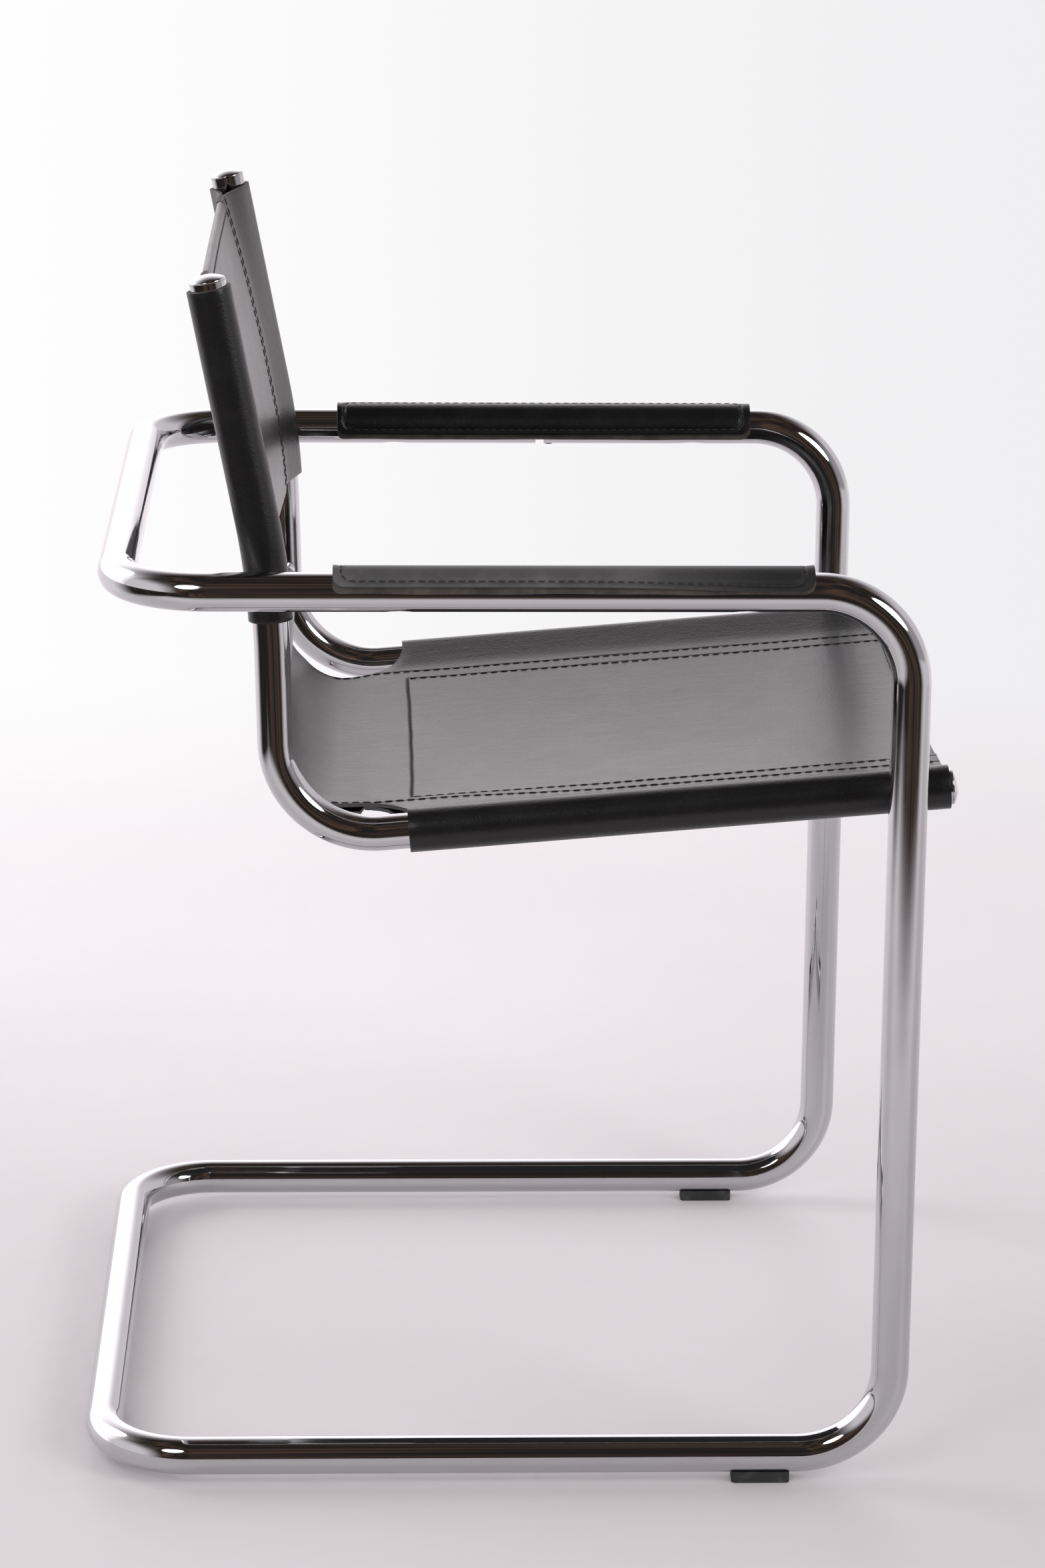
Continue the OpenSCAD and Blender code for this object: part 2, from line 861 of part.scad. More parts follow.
outer_frame();
frame_joint_sleeve();
frame_joint_screw();
side_frame_left();
side_frame_right();
rear_cross_bar();
seat_leather();
back_leather();
armrest_leather_left();
armrest_leather_right();
armrest_lining_left();
armrest_lining_right();
armrest_studs();
armrest_screws();
top_cap_left();
top_cap_right();
seat_cap_left();
seat_cap_right();
front_glide_left();
front_glide_right();
rear_glide_left();
rear_glide_right();
glide_screws();
arm_bolts();
arm_spacers();
arm_inserts();
arm_washers();
upright_bolts();
upright_spacers();
upright_inserts();
upright_washers();
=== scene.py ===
import math
from bisect import bisect

import bpy
import bmesh
from mathutils import Matrix, Vector


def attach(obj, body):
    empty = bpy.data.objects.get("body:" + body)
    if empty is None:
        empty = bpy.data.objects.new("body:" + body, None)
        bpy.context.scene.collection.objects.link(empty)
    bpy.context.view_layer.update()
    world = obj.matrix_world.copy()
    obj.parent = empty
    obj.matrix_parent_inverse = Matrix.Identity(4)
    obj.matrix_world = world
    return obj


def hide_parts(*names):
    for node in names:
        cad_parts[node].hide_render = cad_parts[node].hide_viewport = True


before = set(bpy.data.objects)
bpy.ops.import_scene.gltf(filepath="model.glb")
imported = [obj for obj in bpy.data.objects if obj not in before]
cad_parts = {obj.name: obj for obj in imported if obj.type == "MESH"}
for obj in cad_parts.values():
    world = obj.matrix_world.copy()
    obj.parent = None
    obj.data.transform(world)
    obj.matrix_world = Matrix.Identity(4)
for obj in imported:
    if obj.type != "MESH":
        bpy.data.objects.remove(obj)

scene = bpy.context.scene
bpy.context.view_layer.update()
mm = 0.001    # every piece is drawn in millimetres and brought to metres at its end
sides = ((-1, "left"), (1, "right"))


# shader maths: a Wire is one socket, and Python's operators add the Math nodes

class Wire:
    def __init__(self, graph, socket):
        self.graph = graph
        self.socket = socket

    def maths(self, operation, *values):
        return self.graph.made("ShaderNodeMath", {"operation": operation}, dict(enumerate(values)))

    def __add__(self, other): return self.maths("ADD", self, other)
    def __radd__(self, other): return self.maths("ADD", other, self)
    def __sub__(self, other): return self.maths("SUBTRACT", self, other)
    def __rsub__(self, other): return self.maths("SUBTRACT", other, self)
    def __mul__(self, other): return self.maths("MULTIPLY", self, other)
    def __rmul__(self, other): return self.maths("MULTIPLY", other, self)
    def __neg__(self): return self.maths("MULTIPLY", self, -1.0)
    def over(self, level): return self.maths("GREATER_THAN", self, level)
    def most(self, level): return self.maths("MAXIMUM", self, level)

    def ramp(self, low, high, first=0.0, last=1.0):
        return self.graph.made("ShaderNodeMapRange",
                               {"interpolation_type": "SMOOTHSTEP", "clamp": True},
                               {"Value": self, "From Min": low, "From Max": high,
                                "To Min": first, "To Max": last})


# a tree of nodes, and the coordinates that its patterns lie on
class Graph:
    def __init__(self, tree, on):
        self.tree = tree
        self.where = self.place(on)

    def plug(self, socket, value):
        if isinstance(value, Wire):
            self.tree.links.new(value.socket, socket)
        else:
            socket.default_value = value

    # any node: its settings come first, then the values or wires of its sockets
    def add(self, kind, settings, sockets):
        node = self.tree.nodes.new(kind)
        for key, value in settings.items():
            setattr(node, key, value)
        for key, value in sockets.items():
            self.plug(node.inputs[key], value)
        return node

    def made(self, kind, settings, sockets, out=0):
        return Wire(self, self.add(kind, settings, sockets).outputs[out])

    def place(self, kind):
        return self.made("ShaderNodeTexCoord", {}, {}, kind)

    def axes(self, where):
        split = self.add("ShaderNodeSeparateXYZ", {}, {0: where})
        return [Wire(self, out) for out in split.outputs]

    def stretched(self, sizes):
        return self.made("ShaderNodeVectorMath", {"operation": "MULTIPLY"},
                         {0: self.where, 1: sizes})

    # three scales instead of one stretch the noise
    def noise(self, scale, detail=2.0, rough=0.5, warp=0.0):
        where = self.where
        if isinstance(scale, tuple):
            where, scale = self.stretched(scale), 1.0
        return self.made("ShaderNodeTexNoise", {},
                         {"Vector": where, "Scale": scale, "Detail": detail,
                          "Roughness": rough, "Distortion": warp})

    def cells(self, scale, feature="F1"):
        return self.made("ShaderNodeTexVoronoi", {"feature": feature},
                         {"Vector": self.where, "Scale": scale}, "Distance")

    def blend(self, share, first, second):
        return self.made("ShaderNodeMix", {"data_type": "RGBA"},
                         {0: share, 6: first, 7: second}, 2)

    def bump(self, height, depth, strength, under=None):
        sockets = {"Height": height, "Distance": depth, "Strength": strength}
        if under:
            sockets["Normal"] = under
        return self.made("ShaderNodeBump", {}, sockets)


class Finish(Graph):
    def __init__(self, name, on="Object"):
        self.material = bpy.data.materials.new(name)
        self.material.use_nodes = True
        super().__init__(self.material.node_tree, on)
        self.shader = self.tree.nodes["Principled BSDF"]

    def surface(self, **values):
        for key, value in values.items():
            self.plug(self.shader.inputs[key.replace("_", " ")], value)
        return self


# drawing helpers

def newObject(name, data):
    made = bpy.data.objects.new(name, data)
    scene.collection.objects.link(made)
    return made


def newMesh(name, bm, finishes):
    mesh = bpy.data.meshes.new(name)
    bm.to_mesh(mesh)
    bm.free()
    for finish in finishes:
        mesh.materials.append(finish.material)
    return mesh


def finishPiece(name, bm, finishes, nodes=(), sharp=38):
    bmesh.ops.scale(bm, vec=(mm, mm, mm), verts=bm.verts)
    mesh = newMesh(name, bm, finishes)
    mesh.polygons.foreach_set("use_smooth", [True] * len(mesh.polygons))
    mesh.set_sharp_from_angle(angle=math.radians(sharp))
    piece = newObject(name, mesh)
    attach(piece, "root")
    if nodes:
        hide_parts(*nodes)
    return piece


def roundEdges(piece, width, angle):
    edge = piece.modifiers.new("edgeRounding", "BEVEL")
    edge.width = width * mm
    edge.segments = 2
    edge.limit_method = "ANGLE"
    edge.angle_limit = math.radians(angle)
    return edge


# gives a leather its thickness, with its second finish on the cut edges
def thicken(piece, thick, rounding, even=False):
    wall = piece.modifiers.new("hideThickness", "SOLIDIFY")
    wall.thickness = thick * mm
    wall.offset = 0.0
    wall.use_even_offset = even
    wall.material_offset_rim = 1
    roundEdges(piece, rounding, 55)


# a piece takes its node's name, in camelCase
def pieceName(node):
    first, *others = node.split("_")
    return first + "".join(word.title() for word in others)


def yz(pair, x=0.0):
    return Vector((x, pair[0], pair[1]))


# stands what is drawn along z at a point, along a heading
def stand(bm, verts, at, heading):
    turn = Vector((0, 0, 1)).rotation_difference(heading).to_matrix().to_4x4()
    bmesh.ops.transform(bm, matrix=Matrix.Translation(at) @ turn, verts=verts)


def openRing(bm, radius, segments, at, heading):
    made = bmesh.ops.create_circle(bm, cap_ends=False, segments=segments, radius=radius)
    stand(bm, made["verts"], at, heading)
    return list({edge for vert in made["verts"] for edge in vert.link_edges})


def pullEdges(bm, edges):
    made = bmesh.ops.extrude_edge_only(bm, edges=edges)["geom"]
    verts = [part for part in made if isinstance(part, bmesh.types.BMVert)]
    kept = set(verts)
    return verts, [part for part in made if isinstance(part, bmesh.types.BMEdge)
                   and part.verts[0] in kept and part.verts[1] in kept]


# pulls a ring along straight runs and turns it round the bends, a few degrees at a step
def sweepSkin(bm, radius, segments, points, bends, step=3.75):
    heading = (points[1] - points[0]).normalized()
    first = edges = openRing(bm, radius, segments, points[0], heading)
    here = points[0].copy()
    for index in range(1, len(points)):
        heading = (points[index] - points[index - 1]).normalized()
        reach, turn = points[index], 0.0
        if index < len(points) - 1:
            after = (points[index + 1] - points[index]).normalized()
            turn = heading.angle(after) if heading.dot(after) < 0.999999 else 0.0
            cut = bends[index] * math.tan(turn / 2)
            reach = points[index] - heading * cut
        verts, edges = pullEdges(bm, edges)
        bmesh.ops.translate(bm, vec=reach - here, verts=verts)
        here = reach
        if turn:
            axis = heading.cross(after).normalized()
            centre = here + axis.cross(heading) * bends[index]
            steps = max(2, round(math.degrees(turn) / step))
            for count in range(steps):
                verts, edges = pullEdges(bm, edges)
                bmesh.ops.rotate(bm, cent=centre, verts=verts,
                                 matrix=Matrix.Rotation(turn / steps, 3, axis))
            here = points[index] + after * cut
    return first, edges


# a tube with its wall, closed between the two skins at both ends
def drawTube(tube, points, bends):
    bm = bmesh.new()
    outer, inner = (sweepSkin(bm, radius, tube["segments"], points, bends)
                    for radius in (tube["radius"], tube["radius"] - tube["wall"]))
    for skin, bore in zip(outer, inner):
        bmesh.ops.bridge_loops(bm, edges=skin + bore)
    bmesh.ops.recalc_face_normals(bm, faces=bm.faces)
    return bm


# turns an outline of (radius, height) points, and stands it at a point along a heading
def lathe(outline, at, heading, steps):
    bm = bmesh.new()
    verts = [bm.verts.new((radius, 0, height)) for radius, height in outline]
    edges = [bm.edges.new(pair) for pair in zip(verts, verts[1:])]
    bmesh.ops.spin(bm, geom=verts + edges, cent=(0, 0, 0), axis=(0, 0, 1),
                   angle=2 * math.pi, steps=steps, use_merge=True)
    bmesh.ops.remove_doubles(bm, verts=bm.verts, dist=1e-4)
    bmesh.ops.recalc_face_normals(bm, faces=bm.faces)
    stand(bm, bm.verts, at, heading)
    return bm


# finishes: a pair of hues is the clean and the worn one, or the low and the high one

hues = {"chrome": ((0.585, 0.585, 0.60, 1), (0.53, 0.515, 0.505, 1)),
        "steel": ((0.50, 0.50, 0.50, 1), (0.33, 0.32, 0.31, 1)),
        "cutEdge": ((0.035, 0.034, 0.034, 1), (0.085, 0.082, 0.08, 1)),
        "suede": ((0.024, 0.019, 0.016, 1), (0.062, 0.049, 0.040, 1)),
        "rubber": ((0.020, 0.020, 0.021, 1), (0.050, 0.049, 0.047, 1)),
        "thread": ((0.010, 0.010, 0.011, 1), (0.030, 0.030, 0.031, 1)),
        "sling": (0.0068, 0.0065, 0.0069, 1), "armrest": (0.006, 0.006, 0.0062, 1),
        "paleArmrest": (0.066, 0.0635, 0.063, 1), "darkerFront": (0.016, 0.0155, 0.0155, 1)}


def chromeFinish():
    finish = Finish("polishedChrome")
    cloud = finish.noise(22.0, 4.0, 0.6)
    scuff = finish.noise((900, 900, 120), 2.0, 0.6)
    speck = finish.cells(420.0)
    wipes = cloud.ramp(0.45, 0.72) * 0.06 + scuff.ramp(0.66, 0.8) * 0.05
    dust = 1 - speck.ramp(0.03, 0.09)
    wave = finish.noise(7.0, 1.0)
    return finish.surface(Metallic=1.0, Roughness=0.045 + wipes + dust * 0.12,
                          Base_Color=finish.blend(wipes * 4.0, *hues["chrome"]),
                          Normal=finish.bump(wave, 0.0006, 0.12))


def steelFinish():
    finish = Finish("plainSteel")
    rings = finish.noise((260, 900, 900), 3.0)
    stain = finish.noise(160.0, 3.0)
    return finish.surface(Metallic=1.0, Roughness=0.24 + stain * 0.22,
                          Base_Color=finish.blend(stain.ramp(0.4, 0.7), *hues["steel"]),
                          Normal=finish.bump(rings, 0.00005, 0.5))


def shaded(colour, *shares):
    return (*(part * share for part, share in zip(colour, shares)), 1)


def hideFinish(name, colour, dull=0.0, fore=None):
    finish = Finish(name, "UV")
    seam = finish.made("ShaderNodeAttribute", {"attribute_name": "seam"}, {}, "Fac")
    # pebbles in two sizes, with fine pores between them
    drift = finish.noise(60.0, 2.0)
    pebble = finish.cells(640.0, "SMOOTH_F1")
    finer = finish.cells(1600.0)
    pores = finish.noise(4200.0, 2.0, 0.6)
    grain = pebble * 0.55 + finer * 0.3 + pores * 0.15
    cloud = finish.noise(9.0, 4.0, 0.55)
    worn = finish.noise(28.0, 5.0, 0.62, 0.6)
    pull = 1 - seam.ramp(0.0, 2.4)
    creases = finish.noise((120, 26, 1), 3.0, 0.5, 0.8)
    tone = finish.blend(worn.ramp(0.42, 0.75), colour, shaded(colour, 1.5, 1.5, 1.5))
    tone = finish.blend(cloud.ramp(0.35, 0.8, 0.0, 0.5), tone, shaded(colour, 0.7, 0.7, 0.72))
    # where fore is given, the tone turns darker towards the armrest's front end
    if fore:
        tone = finish.blend(finish.axes(finish.place("Object"))[1].ramp(-0.17, -0.05), fore, tone)
    under = finish.bump(creases * 0.6 + drift * 0.4, 0.0012, 0.25)
    dent = finish.bump(-pull, 0.0009, 0.8, under)
    return finish.surface(Base_Color=tone,
                          Roughness=0.27 + dull + worn * 0.10 + grain * 0.06 - cloud * 0.05,
                          Normal=finish.bump(grain, 0.0003, 0.8, dent),
                          Coat_Weight=0.16, Coat_Roughness=0.22, Specular_IOR_Level=0.31)


def edgeFinish():
    finish = Finish("leatherCutEdge")
    fibre = finish.noise((500, 500, 1800), 3.0, 0.7)
    return finish.surface(Base_Color=finish.blend(fibre, *hues["cutEdge"]),
                          Roughness=0.6 + fibre * 0.2, Normal=finish.bump(fibre, 0.00015, 0.6))


def liningFinish():
    finish = Finish("liningSuede")
    nap = finish.noise(1500.0, 4.0, 0.7)
    patch = finish.noise(60.0, 4.0, 0.6)
    return finish.surface(Base_Color=finish.blend(patch.ramp(0.3, 0.75), *hues["suede"]),
                          Roughness=0.82 + nap * 0.15, Normal=finish.bump(nap, 0.00025, 0.7),
                          Sheen_Weight=0.25, Sheen_Roughness=0.5)


def rubberFinish():
    finish = Finish("glideRubber")
    grit = finish.noise(900.0, 4.0, 0.65)
    dust = finish.noise(90.0, 3.0)
    return finish.surface(Base_Color=finish.blend(dust.ramp(0.45, 0.75), *hues["rubber"]),
                          Roughness=0.62 + grit * 0.2, Normal=finish.bump(grit, 0.0002, 0.5))


def threadFinish():
    finish = Finish("blackThread")
    twist = finish.made("ShaderNodeTexWave", {"bands_direction": "DIAGONAL"},
                        {"Vector": finish.where, "Scale": 900.0, "Distortion": 2.0}, "Fac")
    return finish.surface(Base_Color=finish.blend(twist, *hues["thread"]),
                          Roughness=0.45 + twist * 0.15, Normal=finish.bump(twist, 0.0001, 0.6))


chrome = chromeFinish()
steel = steelFinish()
slingHide = hideFinish("slingLeather", hues["sling"])
# the left armrest's leather is a paler grey and rougher than the right one's, and turns darker
# towards its front
restHides = {-1: hideFinish("wornArmrestLeather", hues["paleArmrest"], 0.22, hues["darkerFront"]),
             1: hideFinish("armrestLeather", hues["armrest"], -0.03)}
cutEdge = edgeFinish()
suede = liningFinish()
glideRubber = rubberFinish()
thread = threadFinish()
print("finishes ready")


# the outer frame: one tube bent into a closed loop, open only at its seam

loop = {"radius": 12.7, "wall": 2.5, "halfWidth": 265.0, "bend": 61.0, "segments": 64,
        "armZ": 613.0, "floorZ": 18.4, "front": -252.4, "armRear": 259.6, "floorRear": 276.6,
        "seamY": -31.0, "gap": 6.0, "dents": (77.0, -145.0), "dentRadius": 30.0,
        "dentDepth": 1.8, "dentNarrow": 0.45, "dentStep": 1.5, "dentZ": (5.0, 15.0)}


# close rings where the underside of an arm is dented; way is the run's direction along y
def dentStops(x, way, dents):
    return [(Vector((x, centre + loop["dentStep"] * step * way, loop["armZ"])), 0)
            for centre in dents for step in range(-8, 9)]


def drawOuterFrame():
    side, arm, floor = loop["halfWidth"], loop["armZ"], loop["floorZ"]
    front, back, heel = loop["front"], loop["armRear"], loop["floorRear"]
    seam, gap, dents = loop["seamY"], loop["gap"] / 2, loop["dents"]
    corners = [(Vector((side, seam + gap, arm)), 0), *dentStops(side, 1, dents[:1])]
    corners += [(Vector((x, back, arm)), 1) for x in (side, -side)]
    corners += dentStops(-side, -1, dents)
    corners += [(Vector(corner), 1) for corner in (
        (-side, front, arm), (-side, front, floor), (-side, heel, floor),
        (side, heel, floor), (side, front, floor), (side, front, arm))]
    corners += [*dentStops(side, 1, dents[1:]), (Vector((side, seam - gap, arm)), 0)]
    bm = drawTube(loop, [point for point, bent in corners],
                  [bent * loop["bend"] for point, bent in corners])
    # the dents under the arms are pressed in, and the wall goes with them
    lift = arm - loop["radius"] - loop["dentRadius"] + loop["dentDepth"]
    for vert in bm.verts:
        if loop["dentZ"][0] < arm - vert.co.z < loop["dentZ"][1]:
            across = abs(vert.co.x) - side
            inside = math.hypot(across, vert.co.z - arm) < loop["radius"] - 1
            reach = loop["dentRadius"] + (loop["wall"] if inside else 0)
            for place in dents:
                flat = math.hypot(loop["dentNarrow"] * across, vert.co.y - place)
                if flat < reach:
                    vert.co.z = max(vert.co.z, lift + math.sqrt(reach ** 2 - flat ** 2))
    finishPiece("outerFrameTube", bm, [chrome], ["outer_frame"])


drawOuterFrame()
print("outer frame drawn")


# the two side frames of the seat and back, and the bar welded between them

rail = {"radius": 11.75, "wall": 2.2, "halfWidth": 225.5, "segments": 56, "seatBend": 64.0,
        "backBend": 500.0, "seatRise": 4.8, "lowerLean": 1.55, "backLean": 11.2,
        "corner": (155.6, 436.0), "bendRise": 175.0, "backLength": 198.0, "seatLength": 442.0}
# the bar's ends flare into the weld, as shares of it, and stay inside the side tubes' walls
crossBar = {"radius": 6.0, "rise": 79.0, "weld": 1.3, "bite": 2.0, "steps": 40,
            "flare": ((1.0, -1.6), (1.0, 0.3), (0.55, 0.9), (0.2, 1.9), (0.0, 3.0))}


def leaning(degrees):
    return Vector((math.sin(math.radians(degrees)), math.cos(math.radians(degrees))))


lowDir, backDir = leaning(rail["lowerLean"]), leaning(rail["backLean"])
seatDir = leaning(rail["seatRise"] - 90)
seatUp = Vector((seatDir.y, -seatDir.x))
backUp = Vector((-backDir.y, backDir.x))
railCorner = Vector(rail["corner"])
bendPoint = railCorner + lowDir * rail["bendRise"]
topPoint = bendPoint + backDir * rail["backLength"]
nosePoint = railCorner + seatDir * rail["seatLength"]
barPoint = railCorner + lowDir * (crossBar["rise"] / lowDir.y)


def drawSideFrame(side, name):
    x = side * rail["halfWidth"]
    bm = drawTube(rail, [yz(point, x) for point in (topPoint, bendPoint, railCorner, nosePoint)],
                  [0, rail["backBend"], rail["seatBend"], 0])
    finishPiece("sideFrameTube" + name.title(), bm, [chrome],
                ["side_frame_" + name])


def drawCrossBar():
    inner = rail["halfWidth"] - rail["radius"]
    outline = [(0, -inner - crossBar["bite"])]
    outline += [(crossBar["radius"] + crossBar["weld"] * share, along - inner)
                for share, along in crossBar["flare"]]
    outline += [(across, -along) for across, along in reversed(outline)]
    bm = lathe(outline, yz(barPoint), Vector((1, 0, 0)), crossBar["steps"])
    finishPiece("rearCrossBar", bm, [chrome], ["rear_cross_bar"])


for side, name in sides:
    drawSideFrame(side, name)
drawCrossBar()
print("side frames drawn")


# the slings are cut flat, then wrapped round the side tubes and stitched;
# x is the way across, d the distance from a side tube's middle line, v the way from the hem,
# and u the flat leather's own way across

sling = {"wrap": 13.25, "wrapFrom": (4.7, -12.39), "wrapTurn": 217.0, "wrapSteps": 26,
         "closeAt": 38.0, "soft": 3.0, "panelSlope": 0.2907, "flapSlope": 0.3796,
         "flapEnd": 70.0, "thick": 2.4, "panelUp": 2.75, "flapUp": 0.25, "rows": (49.0, 66.0),
         "between": (59.0, 61.0), "past": (71.8, 73.5), "columnStep": 6.0, "sagPower": 1.3,
         "foldX": 152.0, "foldRadius": 1.25, "hem": 12.5, "groove": 0.22, "grooveHalf": 2.2,
         "rounding": 0.4, "wander": ((0.6, 37.0, 0.0), (0.35, 12.5, 1.0))}
seatCut = {"notchD": 8.0, "notchV": 400.0, "notchR": 45.0, "edgeD": 40.5, "spreadD": 112.0,
           "flapV": 384.0, "returnD": 71.5, "endY": 60.0, "frontBare": 1.3, "bareX": 190.0,
           "sag": 8.5, "deepV": 190.0, "frontShare": 0.55, "rearLoss": 0.25,
           "arcCentre": (113.65, 488.66), "arcTop": 46.25, "arcBack": 48.75,
           "loopMid": 7.5, "splitZ": 490.0, "tongueStep": 3.4,
           "ride": {"high": 3.2, "across": (14.0, 30.0, 50.0, 26.0),
                    "along": (210.0, 140.0, 405.0, 50.0)}}
backCut = {"topBare": 4.4, "footShare": 0.8, "sag": 5.0, "topShare": 0.75, "bareX": 159.0,
           "hemRow": 8.2, "rowEnd": 216.0,
           "bow": {"deep": 6.6, "reach": 130.0, "slant": 3.0, "from": 12.0, "over": 40.0}}
seatRows = {"outer": 380.0, "runOut": 408.0, "inner": 352.0, "cross": 352.0, "hem": 4.6}
farSeam = 9.0    # stands for no stitches nearby


def softRamp(distance):
    share = distance / sling["soft"]
    return distance if share > 30 else sling["soft"] * math.log(1 + math.exp(share))


def topHeight(d):
    return sling["panelUp"] + sling["panelSlope"] * softRamp(sling["closeAt"] - d)


def lowHeight(d):
    return sling["flapUp"] - sling["flapSlope"] * softRamp(sling["closeAt"] - d)


# adds waves, each given by its height, its length and its start
def waves(way, parts):
    return sum(high * math.sin(way / long + start) for high, long, start in parts)


# a row of stitches wanders a little along its way
def wander(way):
    return waves(way, sling["wander"])


# the middle line of one sleeve, from the flap's end round the tube to the panel
def sleeveStations():
    rim = [seatCut["notchD"] + seatCut["notchR"] * math.cos(math.radians(turn))
           for turn in range(0, 91, 9)]
    stops = [stop for stop in rim if abs(stop - sling["rows"][0]) > 0.8]
    stops += [row + off for row in sling["rows"] for off in (-3, -1.5, 0, 1.5, 3)
              if abs(row + off - rim[0]) > 0.5]
    stops = sorted([*stops, *sling["between"], sling["flapEnd"]])
    stations = [dict(d=d, h=lowHeight(d), layer="under") for d in reversed(stops)]
    start = math.atan2(*reversed(sling["wrapFrom"]))
    for step in range(sling["wrapSteps"] + 1):
        turn = start - math.radians(sling["wrapTurn"]) * step / sling["wrapSteps"]
        stations.append(dict(d=sling["wrap"] * math.cos(turn), h=sling["wrap"] * math.sin(turn),
                             layer="round"))
    panel = [*stops, *sling["past"]]
    while panel[-1] + sling["columnStep"] < rail["halfWidth"] - 2:
        panel.append(panel[-1] + sling["columnStep"])
    stations += [dict(d=d, h=topHeight(d), layer="top") for d in panel]
    u = 0.0
    for before, station in zip([stations[0]] + stations, stations):
        u += math.hypot(station["d"] - before["d"], station["h"] - before["h"])
        station["u"] = u
    return stations


def slingStations():
    near, half = sleeveStations(), rail["halfWidth"]
    near.append(dict(d=half, h=topHeight(half), layer="top",
                     u=near[-1]["u"] + half - near[-1]["d"]))
    far = [dict(station, u=2 * near[-1]["u"] - station["u"], x=half - station["d"])
           for station in reversed(near[:-1])]
    return [dict(station, x=station["d"] - half) for station in near] + far


def sagAcross(x, bare):
    return max(0.0, 1 - (x / bare) ** 2) ** sling["sagPower"]


# a trail is the side view of a sheet's middle line: point, side towards the sitter, sag
class Trail:
    def __init__(self, cut=()):
        self.steps, self.length = [], 0.0
        self.bare, self.bow, self.ride = (dict(cut).get(key) for key in ("bareX", "bow", "ride"))

    # the right end of a bowed edge hangs lower
    def slant(self, x):
        return self.bow["slant"] * (0.5 + 0.5 * x / rail["halfWidth"]) if self.bow else 0.0

    def put(self, point, up, sag):
        point = Vector(point)
        if self.steps:
            self.length += (point - self.steps[-1][1]).length
        self.steps.append((self.length, point, Vector(up).normalized(), sag))

    def at(self, v):
        steps = self.steps
        if v <= 0:
            ahead = (steps[1][1] - steps[0][1]).normalized()
            return steps[0][1] + ahead * v, steps[0][2], steps[0][3]
        low = min(bisect(steps, v, key=lambda step: step[0]), len(steps) - 1) - 1
        before, after = steps[low], steps[low + 1]
        share = (v - before[0]) / max(after[0] - before[0], 1e-6)
        return (before[1].lerp(after[1], share), before[2].lerp(after[2], share).normalized(),
                before[3] + (after[3] - before[3]) * share)


def eased(share):
    share = min(max(share, 0.0), 1.0)
    return share * share * (3 - 2 * share)


# rises from one place over a stretch, and falls from another over its own
def swell(way, rise, over, fall, under):
    return eased((way - rise) / over) * (1 - eased((way - fall) / under))


def onSheet(trail, x, v, height):
    point, up, sag = trail.at(v)
    drop, d = sag * sagAcross(x, trail.bare), rail["halfWidth"] - abs(x)
    # use has pulled the left sleeve inwards at its rear end, so the seat rides up beside it
    if trail.ride and x < 0:
        ride = trail.ride
        drop -= ride["high"] * swell(d, *ride["across"]) * swell(v, *ride["along"])
    if trail.bow:
        bow = trail.bow
        share = max(0.0, 1 - max(v, 0) / bow["reach"]) ** 2
        drop += (bow["deep"] * eased((d - bow["from"]) / bow["over"]) - drop) * share
    return yz(point + up * (height - sling["panelUp"] - drop), x)


# distance to the nearest row of stitches; ends are where the two rows stop
def seamAway(station, v, ends, cross):
    if station["layer"] == "round":
        return farSeam
    d, away = station["d"], [farSeam]
    away += [abs(d - row - wander(v)) + max(0, v - end) for row, end in zip(sling["rows"], ends)]
    if d > sling["rows"][1] - 1:
        away.append(abs(v - cross - 0.5 * wander(d)))
    return min(away)


slingColumns = slingStations()


# the sheet's grid, wrapped; flat keeps each point's place on the flat leather
def drawSheet(trail, startOf, endOf, rows, ends, cross):
    lastColumn, lastRow = len(slingColumns) - 1, len(rows) - 1
    bm = bmesh.new()
    bm.loops.layers.uv.new("leather")
    bm.verts.layers.float.new("seam")
    bmesh.ops.create_grid(bm, x_segments=lastColumn, y_segments=lastRow, size=1.0)
    flat, byPlace = {}, {}
    for vert in bm.verts:
        column = round((vert.co.x + 1) / 2 * lastColumn)
        row = round((vert.co.y + 1) / 2 * lastRow)
        station = slingColumns[column]
        first, last = startOf(station), endOf(station)
        v = first + (last - first) * rows[row]
        near = seamAway(station, v, ends, cross)
        sink = sling["groove"] * max(0.0, 1 - near / sling["grooveHalf"])
        height = station["h"] - sink * (1 if station["layer"] == "top" else -1)
        vert.co = onSheet(trail, station["x"], v, height)
        flat[vert] = (station["u"], v, near)
        byPlace[column, row] = vert
    return bm, flat, byPlace


# extrudes the edge of a sheet row by row; placeRow gives each column's point, u, v and seam
def growSheet(bm, flat, edgeVerts, placeRow, rowCount):
    for row in range(rowCount):
        columns = {vert: column for column, vert in edgeVerts.items()}
        edges = list({edge for vert in columns for edge in vert.link_edges
                      if edge.verts[0] in columns and edge.verts[1] in columns
                      and abs(columns[edge.verts[0]] - columns[edge.verts[1]]) == 1})
        edgeVerts = {}
        for vert in pullEdges(bm, edges)[0]:
            for edge in vert.link_edges:
                other = edge.other_vert(vert)
                if other in columns:
                    edgeVerts[columns[other]] = vert
        for column, vert in edgeVerts.items():
            vert.co, flat[vert] = placeRow(row, column)


